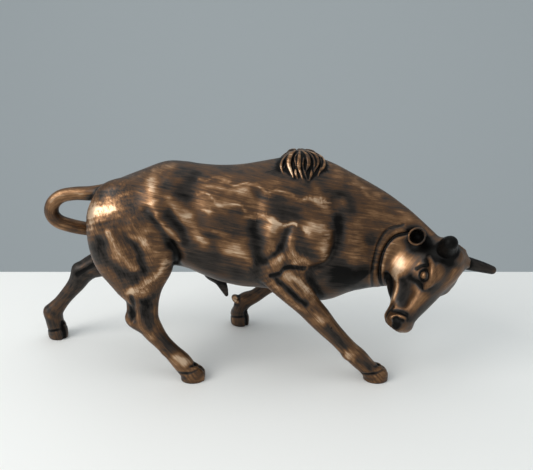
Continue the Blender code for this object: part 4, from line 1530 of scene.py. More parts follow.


# On the flanks, seen from the side: patina rubs, with painted highlights and painted shade among them
FLANK_RUBS_AND_PAINTED_LIGHT = (
    # Painted highlight of the window light on the point of the rump
    RubAndPaintedLight(((-111, 116), (-109, 112)), 3.1, 0.55),
    RubAndPaintedLight(((-105, 117), (-97, 118)), 2.8, 0.55),
    RubAndPaintedLight(((-96, 117), (-92, 118)), 2.5, 0.30),
    RubAndPaintedLight(((-107, 118), (-105, 114)), 0.7, -0.30),
    RubAndPaintedLight(((-113, 109), (-109, 102)), 3.1, 0.15),
    RubAndPaintedLight(((-103, 121), (-97, 123), (-82, 126)), 1.2, 0.25),
    RubAndPaintedLight(((-96, 131), (-90, 133), (-78, 136)), 1.2, 0.20),
    RubAndPaintedLight(((-106, 123), (-100, 127), (-93, 130)), 2.5, -0.35),
    # Painted highlight on the hip
    RubAndPaintedLight(((-73, 130), (-68, 124)), 4.3, 0.25),
    RubAndPaintedLight(((-64, 142), (-68, 137), (-72, 131)), 3.1, 0.20),
    RubAndPaintedLight(((-59, 136), (-55, 130), (-52, 122)), 5.6, -0.38),
    RubAndPaintedLight(((-61, 121), (-55, 117), (-49, 112)), 2.2, 0.40),
    RubAndPaintedLight(((-48, 110), (-43, 104), (-39, 97)), 2.8, 0.36),
    RubAndPaintedLight(((-66, 119), (-59, 113), (-53, 104), (-50, 96)), 3.1, -0.32),
    RubAndPaintedLight(((-67, 112), (-61, 104), (-57, 97)), 1.1, 0.25),
    # Painted shadow in the fold of the flank
    RubAndPaintedLight(((-73, 115), (-68, 108), (-63, 100)), 1.9, -0.28),
    RubAndPaintedLight(((-75, 120), (-71, 121)), 1.9, 0.30),
    RubAndPaintedLight(((-91, 118), (-84, 118)), 2.8, -0.20),
    RubAndPaintedLight(((-83, 107), (-76, 104)), 2.5, 0.16),
    RubAndPaintedLight(((-81, 100), (-75, 97)), 2.2, 0.42),
    RubAndPaintedLight(((-75, 96), (-69, 93)), 2.2, 0.35),
    RubAndPaintedLight(((-72, 89), (-66, 88)), 3.7, 0.25),
    RubAndPaintedLight(((-98, 101), (-95, 94), (-90, 86), (-82, 81)), 2.5, 0.30),
    RubAndPaintedLight(((-87, 95), (-83, 87), (-81, 81)), 1.0, 0.20),
    RubAndPaintedLight(((-104, 94), (-101, 84)), 3.7, -0.28),
    RubAndPaintedLight(((-93, 78), (-86, 75), (-82, 71)), 3.7, -0.34),
    RubAndPaintedLight(((-81, 92), (-78, 85), (-76, 78)), 3.4, -0.38),
    RubAndPaintedLight(((-65, 82), (-69, 75), (-77, 70), (-85, 66)), 2.5, 0.42),
    RubAndPaintedLight(((-86, 63), (-79, 63)), 2.5, 0.38),
    RubAndPaintedLight(((-71, 65), (-75, 55)), 2.5, -0.45),
    # Painted shadow at the lower end of the fold of the flank
    RubAndPaintedLight(((-59, 94), (-56, 88)), 3.1, -0.60),
    RubAndPaintedLight(((-38, 129), (-26, 128), (-13, 126)), 1.4, 0.30),
    RubAndPaintedLight(((-45, 119), (-32, 120), (-23, 117)), 3.1, 0.30),
    RubAndPaintedLight(((-38, 116), (-34, 117)), 0.7, 0.45),
    RubAndPaintedLight(((-45, 112), (-26, 110)), 3.7, -0.14),
    RubAndPaintedLight(((-33, 99), (-32, 89)), 3.1, -0.30),
    RubAndPaintedLight(((-32, 103), (-21, 99)), 0.8, 0.30),
    RubAndPaintedLight(((-26, 93), (-18, 88)), 3.1, 0.30),
    RubAndPaintedLight(((-48, 87), (-33, 78), (-17, 75)), 5.0, -0.35),
    RubAndPaintedLight(((-46, 138), (-17, 138), (5, 141)), 3.1, -0.15),
    RubAndPaintedLight(((-17, 126), (-10, 122), (-6, 117)), 3.7, 0.30),
    RubAndPaintedLight(((6, 133), (15, 131)), 3.7, 0.30),
    RubAndPaintedLight(((5, 118), (16, 115)), 5.6, -0.42),
    RubAndPaintedLight(((0, 126), (21, 122), (39, 117)), 0.9, 0.30),
    RubAndPaintedLight(((-12, 114), (-3, 111), (8, 109), (23, 105)), 0.7, 0.45),
    RubAndPaintedLight(((-20, 106), (-11, 103)), 3.7, -0.14),
    RubAndPaintedLight(((-7, 108), (-7, 97), (-4, 87)), 3.4, -0.50),
    RubAndPaintedLight(((-19, 93), (-13, 88)), 3.7, 0.28),
    RubAndPaintedLight(((5, 108), (12, 106)), 2.5, 0.28),
    RubAndPaintedLight(((2, 105), (2, 93)), 1.9, 0.25),
    RubAndPaintedLight(((13, 105), (11, 98), (7, 92), (1, 84)), 2.2, -0.42),
    # Painted highlight in front of the triceps
    RubAndPaintedLight(((16, 91), (17, 87), (22, 85)), 2.5, 0.50),
    RubAndPaintedLight(((23, 122), (31, 119)), 3.7, 0.18),
    RubAndPaintedLight(((30, 132), (31, 126)), 2.5, 0.25),
    RubAndPaintedLight(((24, 110), (25, 105)), 3.4, 0.42),
    RubAndPaintedLight(((29, 109), (36, 103), (38, 95), (37, 86)), 2.8, 0.32),
    RubAndPaintedLight(((26, 100), (25, 93), (28, 87)), 4.0, -0.35),
    RubAndPaintedLight(((44, 120), (47, 116)), 3.1, 0.25),
    RubAndPaintedLight(((38, 139), (43, 134)), 3.7, 0.22),
    RubAndPaintedLight(((50, 125), (52, 117), (47, 108)), 3.7, -0.34),
    RubAndPaintedLight(((45, 104), (45, 93), (44, 82)), 3.7, -0.50),
    RubAndPaintedLight(((51, 75), (65, 70)), 4.3, -0.40),
    RubAndPaintedLight(((54, 130), (64, 125), (74, 119)), 1.2, 0.35),
    RubAndPaintedLight(((60, 110), (68, 108)), 3.4, 0.25),
    RubAndPaintedLight(((77, 107), (86, 106)), 3.7, 0.28),
    RubAndPaintedLight(((53, 97), (62, 93)), 1.9, 0.15),
    RubAndPaintedLight(((56, 84), (64, 81)), 2.8, 0.25),
    RubAndPaintedLight(((68, 95), (75, 97)), 3.1, -0.30),
    RubAndPaintedLight(((5, 83), (9, 86)), 2.5, 0.45),
    RubAndPaintedLight(((2, 76), (8, 77)), 1.0, -0.50),
    RubAndPaintedLight(((12, 84), (16, 82)), 1.4, -0.60),
    RubAndPaintedLight(((13, 77), (21, 71), (31, 61)), 2.5, 0.42),
    RubAndPaintedLight(((3, 72), (12, 62), (21, 54)), 1.0, 0.20),
    RubAndPaintedLight(((7, 72), (16, 65), (25, 58)), 1.9, -0.30),
    # Painted highlight along the top of the tail
    RubAndPaintedLight(((-144, 117), (-137, 121), (-124, 123)), 2.4, 0.35),
    RubAndPaintedLight(((-143, 99), (-124, 93), (-106, 89)), 4.0, -0.40),
    # Dark bed of the tuft: patina between the locks, and painted shade in the gaps
    RubAndPaintedLight(((22, 142), (24, 140)), 11.0, -0.75),
    RubAndPaintedLight(((14.5, 141), (16.5, 136)), 1.7, 0.55),
    RubAndPaintedLight(((20.8, 140), (22.4, 135)), 1.6, 0.50),
    RubAndPaintedLight(((10, 141), (10.6, 137.5)), 1.2, 0.45),
    # Painted shadow under the shoulder, over the brisket
    RubAndPaintedLight(((46, 72), (60, 70), (74, 68)), 6.0, -0.55),
    RubAndPaintedLight(((52, 62), (66, 60)), 5.0, -0.50),
    RubAndPaintedLight(((36, 76), (44, 74)), 3.6, -0.40),
    RubAndPaintedLight(((-45, 134), (-10, 130), (14, 125), (39, 120)), 0.5, 0.5),
    RubAndPaintedLight(((-43, 126), (-10, 115), (8, 109), (25, 104)), 0.5, 0.5),
    RubAndPaintedLight(((51, 141), (66, 131), (80, 121)), 0.7, 0.35),
)
# On the head's own grid, for its right side and mirrored: patina rubs, with some painted shade among them
HEAD_RUBS_AND_PAINTED_LIGHT = (
    RubAndPaintedLight(((-13, 20, -29), (-13, 30, -24)), 8.0, 0.42, power=4.0),
    RubAndPaintedLight(((-13, 19, -16), (-13, 25, -16)), 4.6, 0.24),
    RubAndPaintedLight(((-14, 3, -24), (-15, 6, -14), (-14, 5, -6), (-12, 3, 2)), 5.6, -0.36),
    RubAndPaintedLight(((-20, -3, 0), (-27, -4, 5)), 8.0, -0.85),
    RubAndPaintedLight(((-13.2, 11, -5.6), (-13.6, 15.2, 0.6), (-10.4, 22.5, 1.6)), 1.5, 0.34),
    RubAndPaintedLight(((-9.5, 33, -18), (-8, 38, -15), (-7, 44, -13.5), (-6, 48.5, -14)), 1.9, 0.34),
    # Dark hollow of the face: dark patina, and painted shade in the hollow
    RubAndPaintedLight(((-7, 33, -27), (-6, 39, -22), (-5, 45, -18)), 3.6, -0.40),
    RubAndPaintedLight(((-9, 32, -12), (-8, 42, -8.5)), 3.6, -0.22),
    RubAndPaintedLight(((-12, 27, -10), (-10, 27, -3)), 2.4, -0.28),
    RubAndPaintedLight(((-9.8, 29, -3.5), (-8.4, 37, -2.2), (-7.2, 45, -2)), 2.6, 0.16),
    RubAndPaintedLight(((-2, 24, 6), (0, 46, 5)), 4.6, -0.14),
    RubAndPaintedLight(((-9.2, 54, -4.4), (-8.8, 51.2, -1.6), (-7, 49.8, 1.4)), 1.0, 0.40),
    # Nostril: dark patina, and painted shade in its hollow
    RubAndPaintedLight(((-8.8, 53.6, -1.4), (-8.4, 55.6, 0.8), (-7, 58, 0.6)), 1.9, -1.2),
    RubAndPaintedLight(((-5, 50, -14), (-6, 57, -12)), 1.6, 0.25),
    RubAndPaintedLight(((-12.4, 20.6, -2.6), (-12.4, 20.7, -2.6)), 2.4, 0.55),
    # Painted shadow of the upper lid
    RubAndPaintedLight(((-13.5, 13, -7.5), (-13, 15, -4)), 2.0, -0.30),
    RubAndPaintedLight(((-6, 8, 8), (-4, 16, 7.5), (-3, 24, 7)), 3.4, 0.12),
)
# On the legs and the sheath, on the figure's grid: patina rubs, and painted shade on the far legs and the
# sheath
LEG_RUBS_AND_PAINTED_SHADE = (
    RubAndPaintedLight(((31, -38, 49), (36, -38, 45)), 2.6, 0.34),
    RubAndPaintedLight(((39, -38, 40.5), (51, -38, 27)), 3.2, -0.32),
    RubAndPaintedLight(((52.7, -38, 21.5), (56, -38, 18)), 2.2, 0.42),
    RubAndPaintedLight(((60, -38, 16.8), (68, -38, 12)), 3.0, -0.30),
    RubAndPaintedLight(((-84.5, -33, 52), (-85, -33, 45), (-88, -32, 41)), 1.5, 0.40),
    RubAndPaintedLight(((-78.6, -35, 57), (-78, -35, 48), (-76, -35, 40)), 3.6, -0.34),
    RubAndPaintedLight(((-83, -34, 40), (-75, -35, 31)), 1.8, 0.25),
    RubAndPaintedLight(((-60, -37, 19), (-54.5, -37, 15)), 2.6, 0.42),
    RubAndPaintedLight(((-70, -34, 33), (-61, -35, 23)), 3.2, -0.26),
    # Painted shade over the far hind and far fore legs
    RubAndPaintedLight(((-118, 26, 68), (-140, 26, 52), (-160, 26, 26), (-163, 27, 6)), 15.0, -0.22, power=4.0),
    RubAndPaintedLight(((14, 36, 66), (8, 46, 40), (-14, 49, 22), (-22, 50, 6)), 14.0, -0.20, power=4.0),
    RubAndPaintedLight(((-25, 45, 23.6), (-24, 45, 23)), 3.0, 0.45),
    RubAndPaintedLight(((-30, 46, 9), (-28, 45, 5)), 3.6, 0.28),
    # Painted shade on the sheath under the belly
    RubAndPaintedLight(((-38, 0, 62), (-28, 0, 47)), 9.0, -0.35),
)


@dataclass(frozen=True)
class PatinaAndPaintedLight:
    """Where the dark ground shows and where it is rubbed back, and where shade and highlights are painted
    into the tone.

    Attributes:
        base: Tone of a plain flat place, from 0 for the ground to 1 for bright metal.
        ridge: How much a ridge lifts the tone.
        hollow: How much a hollow lowers it: dark patina in the hollows, and painted shade there as well.
        calm: How much fainter the brush is on the head.
        flank_share: How much of their amount the bright rubs and painted highlights of the flanks have.
        dark_share: The same of the dark ones, painted shade among them.
        flank_spread: How much wider than their radius they are.
        flank_fade: Distance from the centre plane at which they have all of their amount.
        wander: Waves that shift the rubs and painted light of the flanks, for x and for z: how
            far, the waves' share of x and of z, and where they start.
        ridge_range: Least and most ridge that counts.
        tuft_ridge: What a ridge adds on the tuft.
        tuft_range: Least and most ridge that counts there.
        tuft_reach: Half sizes of the tuft for the patina, which ends a third past them.
        least: Lowest tone.
        most: Highest tone.
        head_box: Half width, nose and forehead places between which a point is on the head.
        head_edge: How far past that box the head fades out.
        limb_gap: Run between the strokes of two limbs.
        limb_edge: Share of its radius round a limb up to which the brush follows it, and
            how much of that is taken by the change.
    """

    base: float = 0.40
    ridge: float = 1.1
    hollow: float = 1.35
    calm: float = 0.5
    flank_share: float = 0.70
    dark_share: float = 0.48
    flank_spread: float = 1.35
    flank_fade: float = 8.0
    wander: tuple[Route, Route] = (
        ((1.6, 0.13, 0.31, 0), (0.5, -0.3, 0.83, 1)),
        ((1.3, 0.27, -0.2, 2), (0.5, 0.7, 0.4, 0)),
    )
    ridge_range: tuple[float, float] = (-0.1, 0.14)
    tuft_ridge: float = 1.2
    tuft_range: tuple[float, float] = (-0.15, 0.25)
    tuft_reach: Row = (15.5, 17.0, 12.0)
    least: float = -0.5
    most: float = 1.5
    head_box: Row = (17, -5, 64, -33, 14)
    head_edge: float = 3.0
    limb_gap: float = 60.0
    limb_edge: tuple[float, float] = (1.75, 0.5)

    def tone(self, grid: np.ndarray, head: np.ndarray, relief: Sequence[np.ndarray]) -> np.ndarray:
        """The tone of each point: base, ridges, hollows with their painted shade, and rubs with painted
        highlights and shade among them.

        The rubs of the flanks are drawn with a wandering edge: a sum of sines shifts the
        places before their distance is taken.

        Args:
            grid: The points, on the grid.
            head: The points, on the head's grid.
            relief: How hollow each point is, and how much of a ridge.

        Returns:
            The tones.
        """
        hollow, ridge = relief
        # Ridges lift the tone as wear; hollows lower it as dark patina and as painted shade
        tone = self.base + self.ridge * np.clip(ridge, *self.ridge_range) - self.hollow * hollow
        x, y, z = grid.T
        flank = smoothstep(np.abs(y) / self.flank_fade) * (1 - self.on_head(head))
        seen = [
            place + sum(far * np.sin(a * x + b * z + start) for far, a, b, start in waves)
            for place, waves in zip((x, z), self.wander, strict=True)
        ]
        for tone_mark in FLANK_RUBS_AND_PAINTED_LIGHT:
            share = self.flank_share if tone_mark.amount > 0 else self.dark_share
            tone += share * flank * tone_mark.lift(seen, self.flank_spread)
        tuft = np.linalg.norm((grid - TUFT_MIDDLE) / self.tuft_reach, axis=1)
        tone += self.tuft_ridge * smoothstep(4 - 3 * tuft) * np.clip(ridge, *self.tuft_range)
        side, nose, forehead = head.T
        for tone_mark in HEAD_RUBS_AND_PAINTED_LIGHT:
            tone += tone_mark.lift((-np.abs(side), nose, forehead))
        for tone_mark in LEG_RUBS_AND_PAINTED_SHADE:
            tone += tone_mark.lift((x, y, z))
        return np.clip(tone, self.least, self.most)

    def on_head(self, head: np.ndarray) -> np.ndarray:
        """How far points belong to the head.

        Args:
            head: The points, on the head's grid.

        Returns:
            From 0 to 1 for each point.
        """
        side, nose, forehead = head.T
        half, back, front, low, high = self.head_box
        past = (np.abs(side) - half, back - nose, nose - front, forehead - high, low - forehead)
        gap = np.maximum.reduce(past)
        return smoothstep(1 - gap / self.head_edge)

    def strokes(
        self, grid: np.ndarray, limbs: Sequence[np.ndarray]
    ) -> tuple[np.ndarray, np.ndarray]:
        """Places of the points along and across the limb that each lies on.

        Args:
            grid: The points, on the grid.
            limbs: Dense paths with their half sizes.

        Returns:
            Length along the limb and the two offsets from its path, and from 0 to 1 how
            far the point belongs to a limb.
        """
        found = np.zeros((len(grid), 3))
        best = np.full(len(grid), np.inf)
        for number, rows in enumerate(limbs):
            path, radius = rows[:, :3], rows[:, 3:].max(axis=1)
            reach = 2 * radius.max()
            low, high = path.min(axis=0) - reach, path.max(axis=0) + reach
            near = np.flatnonzero(np.all((grid > low) & (grid < high), axis=1))
            places = grid[near]
            run = self.limb_gap * number
            for start, end, before, after in zip(path, path[1:], radius, radius[1:], strict=False):
                length = np.linalg.norm(end - start)
                along = (end - start) / length
                offset = places - start
                share = np.clip(offset @ along / length, 0, 1)
                gap = offset - (share * length)[:, None] * along
                ratio = np.linalg.norm(gap, axis=1) / (before + (after - before) * share)
                nearer = ratio < best[near]
                chosen = near[nearer]
                best[chosen] = ratio[nearer]
                across = unit_vector(np.cross(along, BRUSH_SIDE))
                over = np.cross(along, across)
                found[chosen, 0] = run + share[nearer] * length
                found[chosen, 1] = gap[nearer] @ across
                found[chosen, 2] = gap[nearer] @ over
                run += length
        edge, change = self.limb_edge
        return found, smoothstep((edge - best) / change)


@dataclass
class Casting:
    """The bull itself, one piece.

    Attributes:
        unit: Metres to a grid unit.
        pitch: Distance between the cells of the clay.
        most: Most triangles of the finished mesh.
        low: Lowest corner of the block of clay.
        high: Its highest corner.
        trunk: Barrel, chest and neck.
        flanks: The relief of the flanks.
        tail: The tail.
        head: The head.
        tuft: The tuft on the withers.
        patina: Where the bronze is rubbed, and where shade and highlights are painted into its tone.
        thighs: Places and two half sizes of the paths that the brush follows on the thighs.
        nose: The same on the head, as nose places, with the forehead place and the half size.
        tail_brushed_from: Row of the tail's dense path from which the brush follows it.
        horn_brushed_from: The same of a horn's.
        sheath: x, z and radius of the sheath under the belly.
        sheath_fillet: Size of the fillet round it.
    """

    unit: float
    pitch: float
    most: int = 194000
    low: Row = (-184.0, -62.0, -2.0)
    high: Row = (163.0, 66.0, 155.0)
    trunk: Trunk = Trunk()
    flanks: Flanks = Flanks()
    tail: Tail = Tail()
    head: Head = Head()
    tuft: Tuft = Tuft()
    patina: PatinaAndPaintedLight = PatinaAndPaintedLight()
    thighs: tuple[Route, ...] = (
        ((-102, -26, 118, 14, 14), (-90, -26, 92, 14, 14), (-80, -28, 66, 9, 9)),
        ((-96, 22, 114, 14, 14), (-98, 24, 92, 14, 14), (-112, 26, 70, 9, 9)),
    )
    nose: tuple[Row, float, float] = ((-2, 20, 40, 60), -9.0, 15.0)
    tail_brushed_from: int = 12
    horn_brushed_from: int = 8
    sheath: Route = ((-36, 64, 4.6), (-32.5, 57.5, 3.7), (-30, 52, 2.7), (-28.4, 47.2, 1.4))
    sheath_fillet: float = 2.5

    def clay(self) -> Clay:
        """Works the whole figure up in a block of cells.

        Returns:
            The finished block.
        """
        clay = Clay(self.low, self.high, self.pitch)
        self.trunk.model(clay)
        for leg in LEGS:
            leg.model(clay)
        for muscle in MUSCLES:
            muscle.model(clay)
        self.tail.model(clay)
        self.flanks.press(clay)
        self.head.model(clay)
        self.tuft.model(clay)
        rows = smooth_rows([(x, 0, z, radius, radius) for x, z, radius in self.sheath])
        clay.merge(*clay.tube(rows, ACROSS), self.sheath_fillet)
        for crease in CREASES:
            clay.press(crease.route, crease.radius, crease.depth)
        for leg in LEGS:
            leg.toes(clay)
        z = clay.axes(clay.whole())[2]
        clay.outside = np.maximum(clay.outside, -z)
        return clay

    def model(self) -> bpy.types.Object:
        """Draws the skin of the clay as a mesh and marks it for the patina.

        Returns:
            The casting's object.
        """
        clay = self.clay()
        LOG.info("clay: %s cells", clay.outside.shape)
        points, faces = clay.skin()
        LOG.info("skin: %d points", len(points))
        for _ in range(2):
            points = clay.settle(neighbour_means(faces, points, 1), 1)
        points[:, 2] = np.maximum(points[:, 2], 0)
        points = (points - GRID_MIDDLE) * self.unit
        piece = link("bull_casting", mesh_from_arrays("bull_casting", points, faces))
        self.thin(piece)
        self.mark(piece, clay)
        return piece

    def thin(self, piece: bpy.types.Object) -> None:
        """Brings the mesh under its number of triangles, kept finest where it curves most.

        Args:
            piece: The casting's object.
        """
        mesh = piece.data
        mesh.calc_loop_triangles()
        count = len(mesh.loop_triangles)
        if count <= self.most:
            return
        thin = piece.modifiers.new("thin", "DECIMATE")
        thin.ratio = self.most / count
        thin.use_collapse_triangulate = True
        applied(piece)

    def mark(self, piece: bpy.types.Object, clay: Clay) -> None:
        """Gives each point its tone for the patina and the painted light, and the stroke of the brush
        there.

        A point is hollow where the cells out along its normal lie nearer to the skin
        than they would over a flat one; that darkens it as dark patina and as painted
        shade. It is a ridge where the cells beside it lie outside the skin.

        Args:
            piece: The casting's object.
            clay: The block that it was drawn from.
        """
        places, normals = points_and_normals(piece.data)
        grid = places / self.unit + GRID_MIDDLE
        # How enclosed each point is, which darkens its tone as dark patina and painted shade
        hollow = np.zeros(len(grid))
        for step, weight in HOLLOW_STEPS:
            hollow += weight * np.clip(1 - clay.sample(grid + normals * step) / step, 0, 2)
        aside = np.cross(normals, RIDGE_SIDE)
        aside /= np.maximum(np.linalg.norm(aside, axis=1), TINY)[:, None]
        around = (aside, np.cross(normals, aside))
        ridge = np.zeros(len(grid))
        for step, weight in RIDGE_STEPS:
            for direction in around:
                for way in (-step, step):
                    ridge += weight * clay.sample(grid + direction * way) / step
        head = self.head.frame.on_head(grid)
        tone = self.patina.tone(grid, head, (hollow, ridge))
        grain = 1 - self.patina.calm * self.patina.on_head(head)
        stroke, share = self.patina.strokes(grid, self.limbs())
        attributes = piece.data.attributes
        for name, values in (("tone", tone), ("grain", grain), ("limb", share)):
            made = attributes.new(name, "FLOAT", "POINT")
            made.data.foreach_set("value", values.astype(np.float32))
        flat = (stroke * self.unit).astype(np.float32).ravel()
        attributes.new("stroke", "FLOAT_VECTOR", "POINT").data.foreach_set("vector", flat)

    def limbs(self) -> list[np.ndarray]:
        """All that the brush follows lengthwise.

        Returns:
            Dense paths with their half sizes.
        """
        frame = self.head.frame
        places, forehead, half = self.nose
        found = [leg.path[leg.brushed_from :] for leg in LEGS]
        found += [smooth_rows(rows) for rows in self.thighs]
        found.append(self.tail.path[self.tail_brushed_from :])
        found.append(smooth_rows([(*frame.place(0, n, forehead), half, half) for n in places]))
        found += [horn.path(frame)[self.horn_brushed_from :] for horn in HORNS]
        return found


@dataclass(frozen=True)
class Grain:
    """The grains of a noise.

    Attributes:
        size: Length of a grain along each axis, in millimetres.
        detail: How many finer layers it has.
        turn: Degrees that it is turned about Y.
        rough: How strong the finer layers are.
    """

    size: Row
    detail: float
    turn: float = 0.0
    rough: float = 0.6


class NodeBench:
    """Lays out the nodes of one material and joins them."""

    def __init__(self, name: str) -> None:
        """Starts a material with its surface shader."""
        self.material = bpy.data.materials.new(name)
        self.material.use_nodes = True
        self.tree = self.material.node_tree
        self.shader = self.tree.nodes["Principled BSDF"]

    def node(self, kind: str, **settings: object) -> bpy.types.Node:
        """Adds a node.

        Args:
            kind: The type of the node.
            settings: Its properties.

        Returns:
            The node.
        """
        made = self.tree.nodes.new(kind)
        for key, value in settings.items():
            setattr(made, key, value)
        return made

    def feed(self, socket: bpy.types.NodeSocket, value: object) -> None:
        """Joins a socket to another, or sets it to a plain value.

        Args:
            socket: The socket that takes it.
            value: The other socket, or the value.
        """
        if isinstance(value, bpy.types.NodeSocket):
            self.tree.links.new(value, socket)
        else:
            socket.default_value = value

    def result(self, made: bpy.types.Node, values: Sequence[object]) -> bpy.types.NodeSocket:
        """Feeds the first sockets of a node.

        Args:
            made: The node.
            values: A socket or a value for each.

        Returns:
            Its first output.
        """
        for socket, value in zip(made.inputs, values, strict=False):
            self.feed(socket, value)
        return made.outputs[0]

    def maths(self, operation: str, *values: object) -> bpy.types.NodeSocket:
        """The result of a sum on sockets and numbers."""
        return self.result(self.node("ShaderNodeMath", operation=operation), values)

    def between(self, value: object, span: Row, to: Row) -> bpy.types.NodeSocket:
        """A value carried smoothly from one span to another, given as their ends."""
        made = self.node("ShaderNodeMapRange", interpolation_type="SMOOTHSTEP")
        return self.result(made, (value, *span, *to))

    def attribute(self, name: str) -> bpy.types.Node:
        """A node that reads one of the piece's own attributes."""
        return self.node("ShaderNodeAttribute", attribute_name=name)

    def noise(self, place: bpy.types.NodeSocket, grain: Grain) -> bpy.types.NodeSocket:
        """Noise with grains of a size.

        Args:
            place: The coordinates that it lies in.
            grain: Its grains.

        Returns:
            The noise, about 0.5.
        """
        mapping = self.node("ShaderNodeMapping", vector_type="TEXTURE")
        self.feed(mapping.inputs["Vector"], place)
        self.feed(mapping.inputs["Rotation"], (0, math.radians(grain.turn), 0))
        self.feed(mapping.inputs["Scale"], tuple(length / 1000 for length in grain.size))
        made = self.node("ShaderNodeTexNoise")
        self.feed(made.inputs["Vector"], mapping.outputs[0])
        self.feed(made.inputs["Scale"], 1.0)
        self.feed(made.inputs["Detail"], grain.detail)
        self.feed(made.inputs["Roughness"], grain.rough)
        return made.outputs[0]

    def blend(self, share: object, first: object, second: object) -> bpy.types.NodeSocket:
        """The first value where share is 0, the second where it is 1.

        Args:
            share: How far the second counts.
            first: The first value or socket.
            second: The second.

        Returns:
            The blend of both.
        """
        made = self.node("ShaderNodeMix", data_type="FLOAT")
        for name, value in (("Factor", share), ("A", first), ("B", second)):
            self.feed(made.inputs[name], value)
        return made.outputs[0]


@dataclass(frozen=True)
class BrushedBronze:
    """Dark bronze patina rubbed back to copper along the raised parts.

    Attributes:
        ramp: Tones and the colour that each has.
        speculars: Two tones, and how strongly the surface mirrors from one to the other.
        metals: The same for how metallic it is.
        roughs: The same for its roughness.
        grains: The same for how strong the noises are.
        strokes: The brush strokes on the trunk and along a limb.
        hairs: The marks of the brush's hairs on the trunk and along a limb.
        clouds: Clouds of wear.
        amounts: How much strokes, hairs and clouds change the tone.
        bump: Strength and depth in metres of the hairs' relief.
    """

    ramp: tuple[tuple[float, Row], ...] = (
        (0.05, (0.004, 0.0038, 0.0035, 1)),
        (0.28, (0.019, 0.013, 0.009, 1)),
        (0.48, (0.096, 0.048, 0.022, 1)),
        (0.68, (0.250, 0.134, 0.064, 1)),
        (0.95, (0.600, 0.425, 0.280, 1)),
    )
    speculars: tuple[Row, Row] = ((0.0, 0.4), (0.08, 0.5))
    metals: tuple[Row, Row] = ((0.15, 0.6), (0.25, 0.78))
    roughs: tuple[Row, Row] = ((0.1, 0.8), (0.44, 0.36))
    grains: tuple[Row, Row] = ((0.1, 1.0), (0.75, 1.6))
    strokes: tuple[Grain, Grain] = (Grain((26, 9, 1.7), 4, 11), Grain((14, 1.6, 1.6), 4))
    hairs: tuple[Grain, Grain] = (Grain((16, 3, 0.45), 3, 11), Grain((9, 0.5, 0.5), 3))
    clouds: Grain = Grain((15, 12, 9), 4, 20)
    amounts: Row = (0.62, 0.36, 0.60)
    bump: tuple[float, float] = (0.25, 0.0002)

    def material(self) -> bpy.types.Material:
        """Makes the material: brush strokes and clouds of wear over the casting's tone, which also holds
        painted shade and painted highlights.

        Returns:
            The material.
        """
        bench = NodeBench("brushed_bronze")
        place = bench.node("ShaderNodeTexCoord").outputs["Object"]
        limb = bench.attribute("limb").outputs["Fac"]
        along = bench.attribute("stroke").outputs["Vector"]
        strokes, hairs = (
            bench.blend(limb, bench.noise(place, trunk), bench.noise(along, lengthwise))
            for trunk, lengthwise in (self.strokes, self.hairs)
        )
        clouds = bench.noise(place, self.clouds)
        tone = bench.attribute("tone").outputs["Fac"]
        grain = bench.attribute("grain").outputs["Fac"]
        grain = bench.maths("MULTIPLY", grain, bench.between(tone, *self.grains))
        for noise, amount in zip((strokes, hairs, clouds), self.amounts, strict=True):
            held = bench.maths("MULTIPLY", bench.maths("SUBTRACT", noise, 0.5), grain)
            tone = bench.maths("ADD", tone, bench.maths("MULTIPLY", held, amount))
        ramp = bench.node("ShaderNodeValToRGB")
        colours = ramp.color_ramp.elements
        for element, (at, colour) in zip(colours, (self.ramp[0], self.ramp[-1]), strict=True):
            element.position, element.color = at, colour
        for at, colour in self.ramp[1:-1]:
            colours.new(at).color = colour
        bump = bench.node("ShaderNodeBump")
        strength, depth = self.bump
        for node, name, value in (
            (ramp, "Fac", tone),
            (bench.shader, "Base Color", ramp.outputs[0]),
            (bench.shader, "Specular IOR Level", bench.between(tone, *self.speculars)),
            (bench.shader, "Metallic", bench.between(tone, *self.metals)),
            (bench.shader, "Roughness", bench.between(tone, *self.roughs)),
            (bump, "Strength", strength),
            (bump, "Distance", depth),
            (bump, "Height", hairs),
            (bench.shader, "Normal", bump.outputs[0]),
        ):
            bench.feed(node.inputs[name], value)
        return bench.material


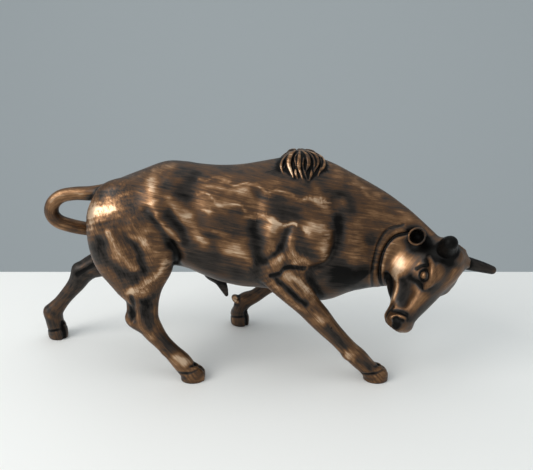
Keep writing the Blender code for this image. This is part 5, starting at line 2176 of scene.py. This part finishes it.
@dataclass(frozen=True)
class Studio:
    """A pale table before a plain grey wall, with soft light from the left.

    Attributes:
        eye: Where the camera is.
        pitch: Degrees that it looks down.
        lens: Focal length in millimetres.
        film: Width of the camera's film in millimetres.
        edge: Y of the table's far edge.
        table: Half width, Y of the near edge and thickness of the table.
        wall: Half width, Y, bottom and top of the wall.
        finishes: Name, colour and roughness of the table and of the wall.
        lamps: Name, place, power, size and colour of each light.
        aim: The place that the lights look at.
        sky: Colour and strength of the light from all round.
        clip: Nearest and farthest place that the camera sees.
    """

    eye: Row = (0.01258, -0.35217, 0.197)
    pitch: float = 16.8
    lens: float = 36.0
    film: float = 36.0
    edge: float = 0.1675
    table: Row = (2.0, -2.5, 0.04)
    wall: Row = (7.0, 2.2, -4.0, 5.0)
    finishes: tuple[tuple[str, Row, float], ...] = (
        ("pale_table", (0.885, 0.885, 0.86, 1), 0.5),
        ("grey_wall", (0.435, 0.475, 0.487, 1), 0.9),
    )
    lamps: tuple[tuple[str, Row, float, float, Row], ...] = (
        ("window", (-0.85, -0.55, 0.75), 8.0, 0.7, (1, 0.985, 0.96)),
        ("ceiling", (0.0, 0.3, 1.5), 8.0, 2.2, (0.97, 0.99, 1)),
    )
    aim: Row = (0, 0, 0.07)
    sky: tuple[Row, float] = ((0.93, 0.97, 1.0, 1), 0.66)
    clip: tuple[float, float] = (0.01, 50.0)

    def plain(self, name: str, colour: Row, roughness: float) -> bpy.types.Material:
        """A plain matt material.

        Args:
            name: Its name.
            colour: Its colour.
            roughness: Its roughness.

        Returns:
            The material.
        """
        made = bpy.data.materials.new(name)
        made.use_nodes = True
        shader = made.node_tree.nodes["Principled BSDF"]
        shader.inputs["Base Color"].default_value = colour
        shader.inputs["Roughness"].default_value = roughness
        return made

    def sheet(self, name: str, corners: Sequence[Row], finish: bpy.types.Material) -> None:
        """A flat stage piece.

        Args:
            name: Its name.
            corners: Its four corners.
            finish: Its material.
        """
        mesh = mesh_from_arrays(name, np.array(corners, float), np.array([[0, 1, 2, 3]]))
        piece = link(name, mesh)
        piece.data.materials.append(finish)

    def lamp(self, name: str, place: Row, power: float, size: float, colour: Row) -> None:
        """A square soft light that looks at the figure.

        Args:
            name: Its name.
            place: Where it is.
            power: Its power in watts.
            size: Its side in metres.
            colour: Its colour.
        """
        light = bpy.data.lights.new(name, "AREA")
        light.energy = power
        light.size = size
        light.color = colour
        made = bpy.data.objects.new(name, light)
        made.location = place
        aim = Vector(self.aim) - Vector(place)
        made.rotation_euler = aim.to_track_quat("-Z", "Y").to_euler()
        bpy.context.scene.collection.objects.link(made)

    def build(self) -> None:
        """Makes the table, the wall, the lights, the world and the camera."""
        pale, grey = (self.plain(*finish) for finish in self.finishes)
        half, near, thick = self.table
        edge = self.edge
        top = [(-half, near, 0), (half, near, 0), (half, edge, 0), (-half, edge, 0)]
        side = [(half, edge, 0), (half, edge, -thick), (-half, edge, -thick), (-half, edge, 0)]
        self.sheet("table_top", top, pale)
        self.sheet("table_side", side, pale)
        half, far, low, high = self.wall
        wall = [(-half, far, low), (half, far, low), (half, far, high), (-half, far, high)]
        self.sheet("wall", wall, grey)
        for lamp in self.lamps:
            self.lamp(*lamp)
        world = bpy.data.worlds.new("room")
        world.use_nodes = True
        back = world.node_tree.nodes["Background"]
        back.inputs["Color"].default_value, back.inputs["Strength"].default_value = self.sky
        bpy.context.scene.world = world
        bpy.context.scene.view_settings.view_transform = "Standard"
        camera = bpy.data.cameras.new("camera")
        camera.lens = self.lens
        camera.sensor_width = self.film
        camera.clip_start, camera.clip_end = self.clip
        made = bpy.data.objects.new("camera", camera)
        made.location = self.eye
        made.rotation_euler = (math.radians(90 - self.pitch), 0, 0)
        bpy.context.scene.collection.objects.link(made)
        bpy.context.scene.camera = made


def main() -> None:
    """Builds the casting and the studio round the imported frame."""
    logging.basicConfig(level=logging.INFO, format="%(name)s: %(message)s")
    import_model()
    low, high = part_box(NODE)
    unit = (high.z - low.z) / GRID_BOX_HEIGHT
    casting = Casting(unit, FINE_PITCH)
    piece = casting.model()
    piece.data.materials.append(BrushedBronze().material())
    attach(piece, "root")
    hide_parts(NODE)
    LOG.info("%s: %d triangles", piece.name, sum(len(p.vertices) - 2 for p in piece.data.polygons))
    Studio().build()


if __name__ == "__main__":
    main()
